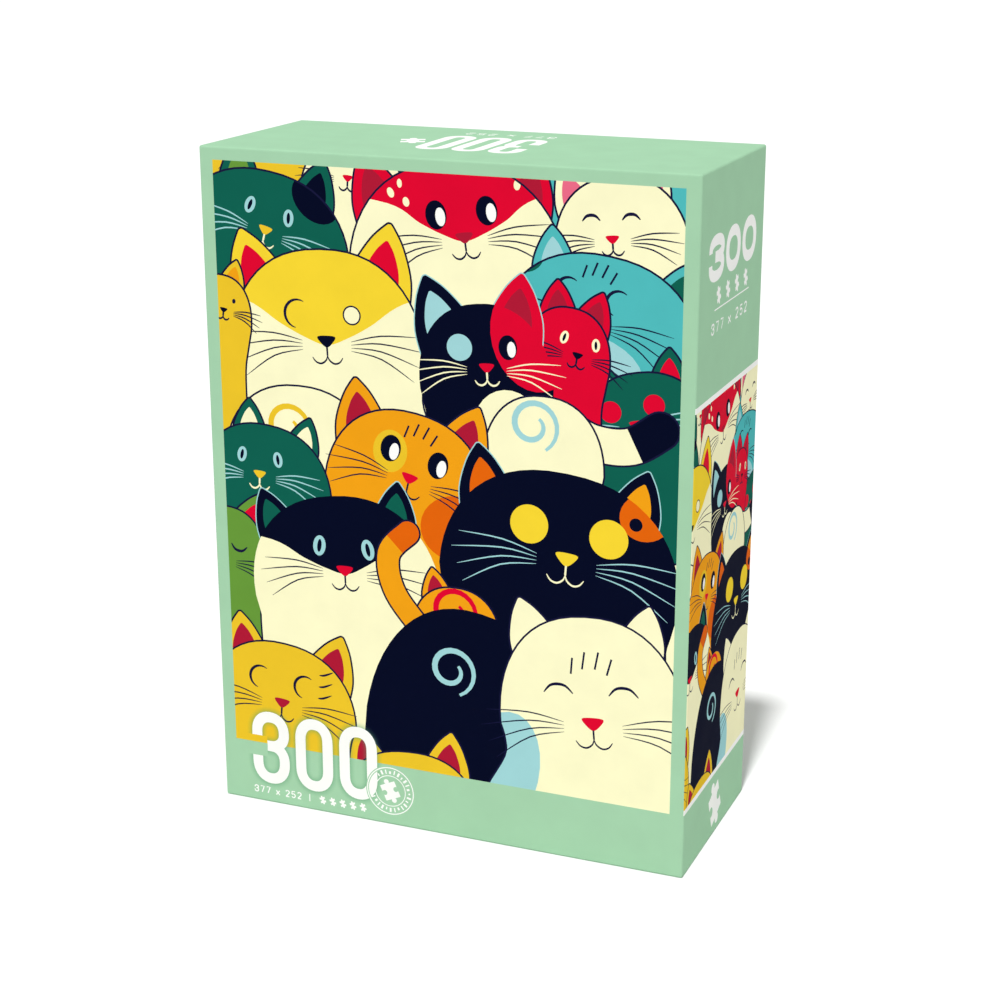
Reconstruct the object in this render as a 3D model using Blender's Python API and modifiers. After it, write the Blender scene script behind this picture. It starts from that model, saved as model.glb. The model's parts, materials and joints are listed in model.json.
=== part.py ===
"""Boxed jigsaw puzzle: a lift-off lid over a tray, with a folded picture sheet
and a sealed bag of 300 loose pieces inside.

The box stands upright on one of its short walls: X is its width, Y its depth with
the picture panel facing -Y, Z its height, and the floor is z = 0. Metres.
"""
import math

import bmesh
import bpy
import numpy as np
from mathutils import Matrix, Vector

MM = 0.001

# Outside of the closed box.
box_width = 140 * MM
box_depth = 60 * MM
box_height = 190 * MM
middle_height = box_height / 2

# Walls: grey board with paper glued round it.
board_thickness = 1.5 * MM
board_ease = 0.25 * MM
paper_thickness = 0.2 * MM
fold_radius = 0.6 * MM
turn_in = 15 * MM            # wrap turned over the rim and down the inside
glue_gap = 0.1 * MM
side_gap = 0.35 * MM         # between a wrap's side wall and the board, room for the stays
stay_thickness = 0.12 * MM
stay_leg = 11 * MM
stay_bend = 0.28 * MM
stay_end_gap = 1 * MM

# The lid is closed at the front, the tray at the back.
lid_rim = 29.2 * MM
tray_rim = -27.9 * MM
tray_width = 134.4 * MM
tray_height = 184.4 * MM

# Picture sheet, folded in three.
sheet_panel_width = 85 * MM
sheet_height = 170 * MM
sheet_thickness = 0.16 * MM
sheet_fold_radius = 0.3 * MM
sheet_front = -27.1 * MM
sheet_bottom = 5.6 * MM

# Jigsaw pieces: 15 columns by 20 rows, a picture 252 mm wide and 377 mm high.
cut_columns = 15
cut_rows = 20
piece_width = 16.8 * MM
piece_height = 18.85 * MM
piece_thickness = 1.8 * MM
cut_width = 0.1 * MM
knob_reach = 3.9 * MM
knob_radius = 2.25 * MM
neck_half_width = 1.45 * MM
shoulder_half_width = 2.9 * MM
pieces_total = cut_columns * cut_rows
pieces_modelled = 36

# The heap lies against the tray's back panel, as it settled with the box lying down.
pieces_back = 27.3 * MM
heap_half_width = 61 * MM
heap_bottom = 8 * MM
heap_height = 142 * MM
heap_cell = 1 * MM
heap_block_step = 7          # cells of relief per cell of the block
heap_block_drop = 0.3 * MM
settle_gap = 0.25 * MM
settle_margin = 0.7 * MM
settle_tries = 110
settle_slope = 0.085

# Film bag.
film_thickness = 0.1 * MM
bag_half_width = 63.6 * MM
bag_bottom = 5.9 * MM
bag_top = 161.5 * MM
bag_seal = 9 * MM
bag_back = 27.9 * MM
bag_flat = 0.25 * MM         # both films together at a seal
bag_slack = 1.2 * MM
bag_columns = 15
bag_row_pitch = 10.2 * MM
vent_radius = 3 * MM

board_grey = (0.42, 0.39, 0.35, 1.0)
print_green = (0.38, 0.65, 0.42, 1.0)
stay_white = (0.78, 0.76, 0.72, 1.0)
tray_green = (0.42, 0.68, 0.46, 1.0)
sheet_white = (0.88, 0.88, 0.86, 1.0)
film_clear = (0.9, 0.92, 0.93, 0.35)
piece_inks = {
    "navy": (0.02, 0.03, 0.12, 1.0),
    "red": (0.72, 0.02, 0.03, 1.0),
    "cream": (0.93, 0.90, 0.55, 1.0),
    "gold": (0.88, 0.60, 0.03, 1.0),
    "teal": (0.10, 0.45, 0.43, 1.0),
    "leaf": (0.15, 0.32, 0.05, 1.0),
}


def clearScene():
    for thing in list(bpy.data.objects):
        bpy.data.objects.remove(thing, do_unlink=True)


def makeMaterial(name, color, roughness):
    material = bpy.data.materials.new(name)
    material.use_nodes = True
    shader = material.node_tree.nodes["Principled BSDF"]
    shader.inputs["Base Color"].default_value = color
    shader.inputs["Roughness"].default_value = roughness
    shader.inputs["Metallic"].default_value = 0.0
    shader.inputs["Alpha"].default_value = color[3]
    return material


def makeEmpty(group, name, place):
    empty = bpy.data.objects.new(name, None)
    empty.empty_display_size = 0.02
    empty.location = place
    group.objects.link(empty)
    return empty


def linkObject(group, name, data, material, parent=None):
    data.materials.append(material)
    thing = bpy.data.objects.new(name, data)
    group.objects.link(thing)
    if parent:
        thing.parent = parent
        thing.matrix_parent_inverse = Matrix.Translation(-parent.location)
    return thing


def meshFrom(work, name):
    """Mesh data from a bmesh whose faces are first turned the same way, outward."""
    bmesh.ops.recalc_face_normals(work, faces=work.faces)
    mesh = bpy.data.meshes.new(name)
    work.to_mesh(mesh)
    work.free()
    return mesh


def addBevel(thing, width, segments):
    bevel = thing.modifiers.new("Eased edges", "BEVEL")
    bevel.width = width
    bevel.segments = segments
    bevel.limit_method = "ANGLE"
    bevel.angle_limit = math.radians(40)


def addSolidify(thing, thickness, offset=-1.0):
    solidify = thing.modifiers.new("Sheet thickness", "SOLIDIFY")
    solidify.thickness = thickness
    solidify.offset = offset
    solidify.use_even_offset = True


def openBox(width, height, closed_y, rim_y):
    """Five faces of a box, open toward the rim."""
    work = bmesh.new()
    bmesh.ops.create_cube(work, size=1.0)
    depth = abs(rim_y - closed_y)
    centre = Vector((0, (rim_y + closed_y) / 2, middle_height))
    bmesh.ops.scale(work, vec=(width, depth, height), verts=work.verts)
    bmesh.ops.translate(work, vec=centre, verts=work.verts)
    side = 1 if rim_y > closed_y else -1
    mouth = [face for face in work.faces if face.normal.y * side > 0.9]
    bmesh.ops.delete(work, geom=mouth, context="FACES_ONLY")
    return work


def makeBoard(group, prefix, width, height, closed_y, rim_y, material, parent):
    """Grey board: one blank scored and folded up into a tray."""
    work = openBox(width, height, closed_y, rim_y)
    board = linkObject(group, prefix + "_board", meshFrom(work, "board"), material, parent)
    addSolidify(board, board_thickness)
    addBevel(board, board_ease, 1)


def makeWrap(group, prefix, width, height, closed_y, rim_y, material, parent):
    """Paper over the panel and the walls, turned over the rim and glued down inside."""
    work = openBox(width, height, closed_y, rim_y)
    inset = 2 * paper_thickness + side_gap + board_thickness + glue_gap
    inward = -turn_in if rim_y > closed_y else turn_in
    for step_in, step_y in ((inset, 0.0), (0.0, inward)):
        edges = [edge for edge in work.edges if edge.is_boundary]
        grown = bmesh.ops.extrude_edge_only(work, edges=edges)
        for vert in grown["geom"]:
            if isinstance(vert, bmesh.types.BMVert):
                vert.co.x -= math.copysign(step_in, vert.co.x)
                vert.co.y += step_y
                vert.co.z -= math.copysign(step_in, vert.co.z - middle_height)
    wrap = linkObject(group, prefix + "_wrap", meshFrom(work, "wrap"), material, parent)
    addBevel(wrap, fold_radius, 3)
    addSolidify(wrap, paper_thickness)


def makeCornerStays(group, prefix, width, height, closed_y, rim_y, material, parent):
    """Four strips of paper tape, each bent round one corner of the board under the wrap."""
    reach = glue_gap + stay_thickness
    side = 1 if rim_y > closed_y else -1
    number = 0
    for side_x in (-1, 1):
        for side_z in (-1, 1):
            number += 1
            corner_x = side_x * (width / 2 + reach)
            corner_z = middle_height + side_z * (height / 2 + reach)
            line = [(corner_x - side_x * stay_leg, corner_z), (corner_x, corner_z)]
            line.append((corner_x, corner_z - side_z * stay_leg))
            work = bmesh.new()
            verts = [work.verts.new((x, closed_y + side * stay_end_gap, z)) for x, z in line]
            edges = [work.edges.new(verts[k:k + 2]) for k in range(2)]
            grown = bmesh.ops.extrude_edge_only(work, edges=edges)
            length = rim_y - closed_y - 2 * side * stay_end_gap
            moved = [vert for vert in grown["geom"] if isinstance(vert, bmesh.types.BMVert)]
            bmesh.ops.translate(work, vec=(0, length, 0), verts=moved)
            stay_name = f"{prefix}_corner_stay_{number}"
            mesh = meshFrom(work, "stay")
            # The outer side faces away from the box, so that the tape grows inward from it.
            if mesh.polygons[0].normal.z * side_z < 0:
                mesh.flip_normals()
            stay = linkObject(group, stay_name, mesh, material, parent)
            addBevel(stay, stay_bend, 3)
            addSolidify(stay, stay_thickness)


def makeShell(group, prefix, width, height, closed_y, rim_y, materials, parent):
    """Board, wrap and corner stays of the lid or the tray."""
    board_material, wrap_material, stay_material = materials
    side = 1 if rim_y > closed_y else -1
    board_width = width - 2 * (paper_thickness + side_gap)
    board_height = height - 2 * (paper_thickness + side_gap)
    board_closed = closed_y + side * (paper_thickness + glue_gap)
    board_rim = rim_y - side * (paper_thickness + glue_gap)
    board_size = (board_width, board_height, board_closed, board_rim)
    makeBoard(group, prefix, *board_size, board_material, parent)
    makeWrap(group, prefix, width, height, closed_y, rim_y, wrap_material, parent)
    makeCornerStays(group, prefix, *board_size, stay_material, parent)


def makeSheet(group, material, parent):
    """Picture sheet: three panels that double back twice round small bends."""
    half = sheet_panel_width / 2
    bend = sheet_fold_radius
    line = [(-half, 0.0)]
    for k in range(5):
        angle = math.pi * (k / 4 - 0.5)
        line.append((half - bend + bend * math.cos(angle), bend + bend * math.sin(angle)))
    for k in range(5):
        angle = math.pi * (k / 4 - 0.5)
        line.append((-half + bend - bend * math.cos(angle), 3 * bend + bend * math.sin(angle)))
    line.append((half, 4 * bend))
    work = bmesh.new()
    verts = [work.verts.new((x, sheet_front + y, sheet_bottom)) for x, y in line]
    edges = [work.edges.new(verts[k:k + 2]) for k in range(len(verts) - 1)]
    grown = bmesh.ops.extrude_edge_only(work, edges=edges)
    moved = [vert for vert in grown["geom"] if isinstance(vert, bmesh.types.BMVert)]
    bmesh.ops.translate(work, vec=(0, 0, sheet_height), verts=moved)
    sheet = linkObject(group, "picture_sheet", meshFrom(work, "sheet"), material, parent)
    addSolidify(sheet, sheet_thickness, offset=0.0)


def sidePoints(start, end, kind):
    """One cut side from start up to but not including end; kind 1 is a knob, -1 a socket."""
    along = (end - start).normalized()
    out = Vector((along.y, -along.x))
    middle = (end - start).length / 2
    profile = [(0.0, 0.0)]
    if kind:
        centre = knob_reach - knob_radius
        neck_rise = 0.35 * MM
        profile.append((middle - shoulder_half_width, 0.0))
        profile.append((middle - neck_half_width, neck_rise))
        for k in range(6):
            angle = math.radians(205 - 46 * k)
            run = middle + knob_radius * math.cos(angle)
            profile.append((run, centre + knob_radius * math.sin(angle)))
        profile.append((middle + neck_half_width, neck_rise))
        profile.append((middle + shoulder_half_width, 0.0))
    return [start + along * run + out * (rise * kind) for run, rise in profile]


def pieceOutline(kinds):
    """Outline of one piece, counter-clockwise from its lower left corner."""
    half_w = (piece_width - cut_width) / 2
    half_h = (piece_height - cut_width) / 2
    signs = ((-1, -1), (1, -1), (1, 1), (-1, 1))
    corners = [Vector((sx * half_w, sy * half_h)) for sx, sy in signs]
    outline = []
    for k in range(4):
        outline.extend(sidePoints(corners[k], corners[(k + 1) % 4], kinds[k]))
    return outline


def cutSides():
    """Kinds of each piece's four sides, lower, right, upper and left, in one cut of the picture.

    A knob on one piece is a socket in its neighbour, and the picture's rim is straight.
    """
    draw = np.random.default_rng(5)
    upright = draw.choice((1, -1), (cut_rows, cut_columns + 1))
    level = draw.choice((1, -1), (cut_rows + 1, cut_columns))
    upright[:, (0, -1)] = 0
    level[(0, -1), :] = 0
    sides = []
    for row in range(cut_rows):
        for column in range(cut_columns):
            lower = -int(level[row, column])
            right = int(upright[row, column + 1])
            upper = int(level[row + 1, column])
            left = -int(upright[row, column])
            sides.append((lower, right, upper, left))
    return sides


def pieceShadow(u, v):
    """Cells under a piece with knobs on all its sides, a margin included."""
    under = abs(u) < piece_width / 2 + settle_margin
    under &= abs(v) < piece_height / 2 + settle_margin
    tip_u = piece_width / 2 + knob_reach - knob_radius
    tip_v = piece_height / 2 + knob_reach - knob_radius
    for tip in ((tip_u, 0), (-tip_u, 0), (0, tip_v), (0, -tip_v)):
        under |= (u - tip[0]) ** 2 + (v - tip[1]) ** 2 < (knob_radius + settle_margin) ** 2
    return under


def settlePieces():
    """Lay the pieces one by one on a growing heap over the tray's back panel.

    Each piece is a dictionary of its centre x and z, its turn, its slopes along x and z,
    its level over the back and its number in the cut. The heap's relief is given twice:
    without the modelled front pieces, and with them.
    """
    draw = np.random.default_rng(11)
    order = draw.permutation(pieces_total)
    columns = np.arange(-heap_half_width, heap_half_width + heap_cell / 2, heap_cell)
    rows = np.arange(0.0, heap_height + heap_cell / 2, heap_cell)
    grid_x, grid_z = np.meshgrid(columns, rows)
    relief = np.zeros(grid_x.shape)
    reach = 13.4 * MM
    window_cells = 29
    pieces = []
    hidden = None
    for number in range(pieces_total):
        if number == pieces_total - pieces_modelled:
            hidden = relief.copy()
        best = None
        for attempt in range(settle_tries):
            x = draw.uniform(reach - heap_half_width, heap_half_width - reach)
            z = draw.uniform(reach, heap_height - reach)
            turn = draw.uniform(0.0, 2 * math.pi)
            slope_x, slope_z = draw.uniform(-settle_slope, settle_slope, 2)
            low_row = int((z - reach) / heap_cell)
            low_column = int((x + heap_half_width - reach) / heap_cell)
            window = (slice(low_row, low_row + window_cells), slice(low_column, low_column + window_cells))
            dx = grid_x[window] - x
            dz = grid_z[window] - z
            under = pieceShadow(math.cos(turn) * dx + math.sin(turn) * dz,
                                math.cos(turn) * dz - math.sin(turn) * dx)
            tilt = slope_x * dx + slope_z * dz
            level = (relief[window] - tilt)[under].max()
            if best is None or level < best["level"]:
                best = {"x": x, "z": z, "turn": turn, "slopes": (slope_x, slope_z), "level": level}
                spot = (window, under, tilt)
        window, under, tilt = spot
        relief[window][under] = (best["level"] + tilt + piece_thickness + settle_gap)[under]
        best["cut"] = int(order[number])
        pieces.append(best)
    return pieces, hidden, relief


def makePiece(group, name, piece, sides, material, parent):
    """One stamped piece lying in the heap, its print toward the front."""
    curve = bpy.data.curves.new(name, "CURVE")
    curve.dimensions = "2D"
    curve.fill_mode = "BOTH"
    curve.extrude = piece_thickness / 2
    outline = pieceOutline(sides)
    spline = curve.splines.new("POLY")
    spline.points.add(len(outline) - 1)
    for point, place in zip(spline.points, outline):
        point.co = (place.x, place.y, 0.0, 1.0)
    spline.use_cyclic_u = True
    thing = linkObject(group, name, curve, material, parent)
    slope_x, slope_z = piece["slopes"]
    normal = Vector((-slope_x, -1.0, -slope_z)).normalized()
    right = Vector((math.cos(piece["turn"]), 0.0, math.sin(piece["turn"])))
    right = (right - normal * right.dot(normal)).normalized()
    up = normal.cross(right)
    turned = Matrix((right, up, normal)).transposed()
    rise = piece["level"] + (piece_thickness + settle_gap) / 2
    thing.location = (piece["x"], pieces_back - rise, heap_bottom + piece["z"])
    thing.rotation_euler = turned.to_euler()


def lowestNear(relief, row, column, reach):
    rows = slice(max(row - reach, 0), row + reach + 1)
    columns = slice(max(column - reach, 0), column + reach + 1)
    return relief[rows, columns].min()


def makeHeap(group, hidden, material, parent):
    """The pieces behind the front ones, as one closed block that stays under their relief."""
    step = heap_block_step
    rows = (hidden.shape[0] - 1) // step
    columns = (hidden.shape[1] - 1) // step
    work = bmesh.new()
    bmesh.ops.create_grid(work, x_segments=columns, y_segments=rows, size=0.5)
    for vert in work.verts:
        column = round((vert.co.x + 0.5) * columns) * step
        row = round((vert.co.y + 0.5) * rows) * step
        rise = max(lowestNear(hidden, row, column, step) - heap_block_drop, 2 * heap_block_drop)
        x = column * heap_cell - heap_half_width
        vert.co = (x, pieces_back - rise, heap_bottom + row * heap_cell)
    rim = [edge for edge in work.edges if edge.is_boundary]
    grown = bmesh.ops.extrude_edge_only(work, edges=rim)
    back = [item for item in grown["geom"] if isinstance(item, bmesh.types.BMEdge)]
    for item in grown["geom"]:
        if isinstance(item, bmesh.types.BMVert):
            item.co.y = pieces_back
    bmesh.ops.edgeloop_fill(work, edges=[edge for edge in back if edge.is_boundary])
    linkObject(group, "loose_pieces", meshFrom(work, "heap"), material, parent)


def bagLevels():
    """Heights of the bag's rows: the lower seal, the filled part and the upper seal."""
    levels = [bag_bottom, bag_bottom + 1.2 * MM, bag_bottom + 1.9 * MM]
    seal_line = bag_top - bag_seal
    level = heap_bottom + 3 * MM
    while level < seal_line - 5 * MM:
        levels.append(level)
        level += bag_row_pitch
    levels += [seal_line - 1.6 * MM, seal_line, bag_top]
    return levels


def bagRelief(relief, levels, columns):
    """How far the front film stands off the back film, draped over the pieces."""
    reach = int(11 * MM / heap_cell)
    drape = np.zeros((len(levels), len(columns)))
    for i, level in enumerate(levels):
        for j, x in enumerate(columns):
            row = round((level - heap_bottom) / heap_cell)
            column = round((x + heap_half_width) / heap_cell)
            low_row = min(max(row - reach, 0), relief.shape[0] - 1)
            low_column = min(max(column - reach, 0), relief.shape[1] - 1)
            near = relief[low_row:max(row + reach, 1), low_column:max(column + reach, 1)]
            drape[i, j] = near.max() + bag_slack + bag_back - pieces_back
    smooth = drape.copy()
    for turn in range(2):
        padded = np.pad(smooth, 1, mode="edge")
        beside = padded[1:-1, :-2] + padded[1:-1, 2:]
        mean = (padded[:-2, 1:-1] + padded[2:, 1:-1] + beside) / 4
        smooth = np.maximum(drape, mean)
    smooth[:2, :] = bag_flat
    smooth[-2:, :] = bag_flat
    smooth[:, 0] = bag_flat
    smooth[:, -1] = bag_flat
    return smooth


def makeBag(group, relief, material, parent):
    """Clear film bag: flat back, front over the heap, sealed ends and a punched vent."""
    levels = bagLevels()
    last = bag_columns - 1
    turns = [math.pi * (j / last - 0.5) for j in range(bag_columns)]
    columns = [bag_half_width * math.sin(turn) for turn in turns]
    stand = bagRelief(relief, levels, columns)
    work = bmesh.new()
    bmesh.ops.create_grid(work, x_segments=last, y_segments=len(levels) - 1, size=0.5)
    vent_row = len(levels) - 4
    vent_column = last // 2
    vent = None
    vent_ring = {}
    for vert in work.verts:
        j = round((vert.co.x + 0.5) * last)
        i = round((vert.co.y + 0.5) * (len(levels) - 1))
        vert.co = (columns[j], bag_back - stand[i, j], levels[i])
        if (i, j) == (vent_row, vent_column):
            vent = vert
        elif abs(i - vent_row) <= 1 and abs(j - vent_column) <= 1:
            vent_ring[vert] = math.atan2(i - vent_row, j - vent_column)
    rim = [edge for edge in work.edges if edge.is_boundary]
    grown = bmesh.ops.extrude_edge_only(work, edges=rim)
    for item in grown["geom"]:
        if isinstance(item, bmesh.types.BMVert):
            item.co.y = bag_back
    back = [item for item in grown["geom"] if isinstance(item, bmesh.types.BMEdge)]
    bmesh.ops.edgeloop_fill(work, edges=[edge for edge in back if edge.is_boundary])
    for vert, angle in vent_ring.items():
        vert.co.x = vent.co.x + vent_radius * math.cos(angle)
        vert.co.z = vent.co.z + vent_radius * math.sin(angle)
    bmesh.ops.recalc_face_normals(work, faces=work.faces)
    bmesh.ops.delete(work, geom=[vent], context="VERTS")
    mesh = bpy.data.meshes.new("bag")
    work.to_mesh(mesh)
    work.free()
    mesh.shade_smooth()
    mesh.set_sharp_from_angle(angle=math.radians(50))
    bag = linkObject(group, "piece_bag", mesh, material, parent)
    addSolidify(bag, film_thickness)


def build():
    clearScene()
    group = bpy.data.collections.new("boxed_jigsaw_puzzle")
    bpy.context.scene.collection.children.link(group)
    board = makeMaterial("grey_board", board_grey, 0.9)
    lid_print = makeMaterial("lid_print_paper", print_green, 0.5)
    tray_paper = makeMaterial("tray_paper", tray_green, 0.55)
    stay = makeMaterial("stay_paper", stay_white, 0.8)
    sheet = makeMaterial("sheet_paper", sheet_white, 0.5)
    film = makeMaterial("clear_film", film_clear, 0.15)
    core = makeMaterial("piece_board", board_grey, 0.85)
    inks = [makeMaterial("piece_" + name, color, 0.5) for name, color in piece_inks.items()]

    lid_axis = makeEmpty(group, "lid_slide_axis", (0.0, 0.0, middle_height))
    bag_axis = makeEmpty(group, "bag_slide_axis", (0.0, 0.0, bag_bottom))
    sheet_axis = makeEmpty(group, "sheet_slide_axis", (0.0, sheet_front, sheet_bottom))

    lid_size = (box_width, box_height, -box_depth / 2, lid_rim)
    makeShell(group, "lid", *lid_size, (board, lid_print, stay), lid_axis)
    tray_size = (tray_width, tray_height, box_depth / 2, tray_rim)
    makeShell(group, "tray", *tray_size, (board, tray_paper, stay), None)
    makeSheet(group, sheet, sheet_axis)

    sides = cutSides()
    pieces, hidden, relief = settlePieces()
    makeHeap(group, hidden, core, bag_axis)
    for number, piece in enumerate(pieces[-pieces_modelled:], 1):
        name = f"puzzle_piece_{number:02d}"
        material = inks[number % len(inks)]
        makePiece(group, name, piece, sides[piece["cut"]], material, bag_axis)
    makeBag(group, relief, film, bag_axis)


build()
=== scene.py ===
import json
import math

import bmesh
import bpy
import numpy as np
from mathutils import Matrix, Vector
from mathutils.geometry import delaunay_2d_cdt

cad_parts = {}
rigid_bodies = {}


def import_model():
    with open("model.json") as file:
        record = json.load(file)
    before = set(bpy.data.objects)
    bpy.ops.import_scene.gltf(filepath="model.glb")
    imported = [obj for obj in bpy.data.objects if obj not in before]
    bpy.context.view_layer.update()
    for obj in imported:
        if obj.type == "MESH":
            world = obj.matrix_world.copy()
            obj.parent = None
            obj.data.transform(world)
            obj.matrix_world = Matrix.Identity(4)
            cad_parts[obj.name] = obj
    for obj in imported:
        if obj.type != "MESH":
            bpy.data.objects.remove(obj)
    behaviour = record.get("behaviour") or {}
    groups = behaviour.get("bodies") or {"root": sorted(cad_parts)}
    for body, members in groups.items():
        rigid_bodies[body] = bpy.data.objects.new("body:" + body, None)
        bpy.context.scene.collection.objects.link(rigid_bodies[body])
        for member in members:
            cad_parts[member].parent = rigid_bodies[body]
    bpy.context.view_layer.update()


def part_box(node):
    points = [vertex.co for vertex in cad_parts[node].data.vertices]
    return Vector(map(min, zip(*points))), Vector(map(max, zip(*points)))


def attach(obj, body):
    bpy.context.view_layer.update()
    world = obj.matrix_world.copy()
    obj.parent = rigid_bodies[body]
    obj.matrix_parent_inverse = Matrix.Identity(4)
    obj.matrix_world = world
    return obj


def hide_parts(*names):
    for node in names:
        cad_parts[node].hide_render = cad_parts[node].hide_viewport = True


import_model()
mm = 0.001

# inks as they read on the matt laminated box
inks = {
    "mint": "#A4D0AC", "white": "#FBFCF8", "shade": "#5F9B72", "cream": "#FBF8CB",
    "navy": "#060B24", "line": "#17183A", "red": "#DE0830", "brick": "#AE1A35",
    "yellow": "#F4D433", "gold": "#EBC32B", "orange": "#F0A016", "rust": "#E2640C",
    "teal": "#0F5F4F", "leaf": "#66973A", "turquoise": "#4FB9BA", "sky": "#9FD3D6",
    "blush": "#E86A86", "paper": "#F2F1EC",
}


def hexToRgb(text):
    return tuple(int(text[k:k + 2], 16) / 255 for k in (1, 3, 5))


def toLinear(rgb):
    return tuple(c / 12.92 if c <= 0.04045 else ((c + 0.055) / 1.055) ** 2.4 for c in rgb)


def hexColor(text):
    return (*toLinear(hexToRgb(text)), 1.0)


def grey(value):
    return (value, value, value, 1.0)


def newMaterial(name, settings):
    material = bpy.data.materials.new(name)
    material.use_nodes = True
    for key, value in settings.items():
        material.node_tree.nodes["Principled BSDF"].inputs[key].default_value = value
    return material


def addNode(material, kind, settings=None, links=None):
    # stops are a colour ramp's; other settings go to the input of that name or number,
    # or to the node itself
    node = material.node_tree.nodes.new(kind)
    for name, value in (settings or {}).items():
        if name == "stops":
            elements = node.color_ramp.elements
            while len(elements) < len(value):
                elements.new(0.5)
            for element, (place, color) in zip(elements, value):
                element.position = place
                element.color = color
        elif isinstance(name, int) or name in node.inputs:
            node.inputs[name].default_value = value
        else:
            setattr(node, name, value)
    for name, source in (links or {}).items():
        material.node_tree.links.new(source, node.inputs[name])
    return node


def plugIn(material, links):
    # links the finished patterns to the material's shader
    shader = material.node_tree.nodes["Principled BSDF"]
    for name, source in links.items():
        material.node_tree.links.new(source, shader.inputs[name])


# prints are flat drawings in millimetres, one layer of ink over another, cut into a mesh
def newDrawing(ink):
    return {"base": ink, "layers": []}


def addLayer(drawing, ink, shapes, alpha=1.0, clip=()):
    # clip names the layers that this one shows inside; gives this layer's number
    drawing["layers"].append({"ink": ink, "shapes": shapes, "alpha": alpha, "clip": tuple(clip)})
    return len(drawing["layers"]) - 1


def moveLayers(target, layers, move):
    # adds layers to another drawing, each of their shapes moved
    offset = len(target["layers"])
    for layer in layers:
        clip = tuple(k + offset for k in layer["clip"])
        shapes = [move(shape) for shape in layer["shapes"]]
        target["layers"].append({**layer, "shapes": shapes, "clip": clip})


def signedArea(shape):
    return sum(ax * by - bx * ay for (ax, ay), (bx, by) in zip(shape, shape[1:] + shape[:1])) / 2


def power(value, exponent):
    return math.copysign(abs(value) ** exponent, value)


def rectangle(x0, y0, x1, y1):
    return [(x0, y0), (x1, y0), (x1, y1), (x0, y1)]


def shiftShape(shape, scale, dx, dy, turn=0.0):
    c, s = math.cos(math.radians(turn)) * scale, math.sin(math.radians(turn)) * scale
    return [(c * x - s * y + dx, s * x + c * y + dy) for x, y in shape]


def oval(x, y, rx, ry, turn=0.0, steps=28):
    angles = [2 * math.pi * k / steps for k in range(steps)]
    return shiftShape([(rx * math.cos(a), ry * math.sin(a)) for a in angles], 1.0, x, y, turn)


def arc(x, y, radius, start, end, steps):
    angles = [math.radians(start + (end - start) * k / steps) for k in range(steps + 1)]
    return [(x + radius * math.cos(a), y + radius * math.sin(a)) for a in angles]


def curveThrough(points, steps=6, closed=False):
    # smooth curve through a few points
    count = len(points)
    line = []
    for k in range(count if closed else count - 1):
        if closed:
            p = [points[(k + j) % count] for j in (-1, 0, 1, 2)]
        else:
            p = [points[min(max(k + j, 0), count - 1)] for j in (-1, 0, 1, 2)]
        for i in range(steps):
            t = i / steps
            spot = []
            for a, b, c, d in zip(*p):
                spot.append(0.5 * (2 * b + (c - a) * t + (2 * a - 5 * b + 4 * c - d) * t * t
                                   + (3 * b - a - 3 * c + d) * t * t * t))
            line.append(tuple(spot))
    if not closed:
        line.append(tuple(points[-1]))
    return line


def penStroke(line, width, taper=0.0, closed=False):
    # the outline of a pen line; taper thins both ends to that share of the width
    count = len(line)
    sides = []
    for k in range(count):
        if closed:
            before, after = line[k - 1], line[(k + 1) % count]
        else:
            before, after = line[max(k - 1, 0)], line[min(k + 1, count - 1)]
        dx, dy = after[0] - before[0], after[1] - before[1]
        size = math.hypot(dx, dy) or 1.0
        reach = width / 2
        if taper:
            reach *= 1 - (1 - taper) * abs(2 * k / (count - 1) - 1) ** 2
        x, y = line[k]
        sides.append(((x - dy / size * reach, y + dx / size * reach),
                      (x + dy / size * reach, y - dx / size * reach)))
    half = count // 2
    parts = (sides[:half + 1], sides[half:] + sides[:1]) if closed else (sides,)
    return [[side[0] for side in part] + [side[1] for side in part[::-1]] for part in parts]


def placeDrawing(target, source, window, scale, dx, dy, turn=0.0):
    # puts one drawing into a window of another
    low = [min(p[k] for p in window) for k in (0, 1)]
    high = [max(p[k] for p in window) for k in (0, 1)]
    pane = addLayer(target, source["base"], [window])
    number = {}
    for index, layer in enumerate(source["layers"]):
        shapes = []
        for shape in layer["shapes"]:
            moved = shiftShape(shape, scale, dx, dy, turn)
            xs, ys = zip(*moved)
            if max(xs) > low[0] and min(xs) < high[0] and max(ys) > low[1] and min(ys) < high[1]:
                shapes.append(moved)
        if shapes and all(k in number for k in layer["clip"]):
            number[index] = len(target["layers"])
            clip = (pane, *(number[k] for k in layer["clip"]))
            target["layers"].append({**layer, "shapes": shapes, "clip": clip})


def insideShape(spots, shape):
    # which of these spots lie inside a closed outline
    ring = np.array(shape)
    ahead = np.roll(ring, -1, axis=0)
    x, y = spots[:, 0][:, None], spots[:, 1][:, None]
    rising = (ring[:, 1] > y) != (ahead[:, 1] > y)
    drop = np.where(ahead[:, 1] == ring[:, 1], 1.0, ahead[:, 1] - ring[:, 1])
    reach = (ahead[:, 0] - ring[:, 0]) * (y - ring[:, 1]) / drop + ring[:, 0]
    return np.count_nonzero(rising & (x < reach), axis=1) % 2 == 1


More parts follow.
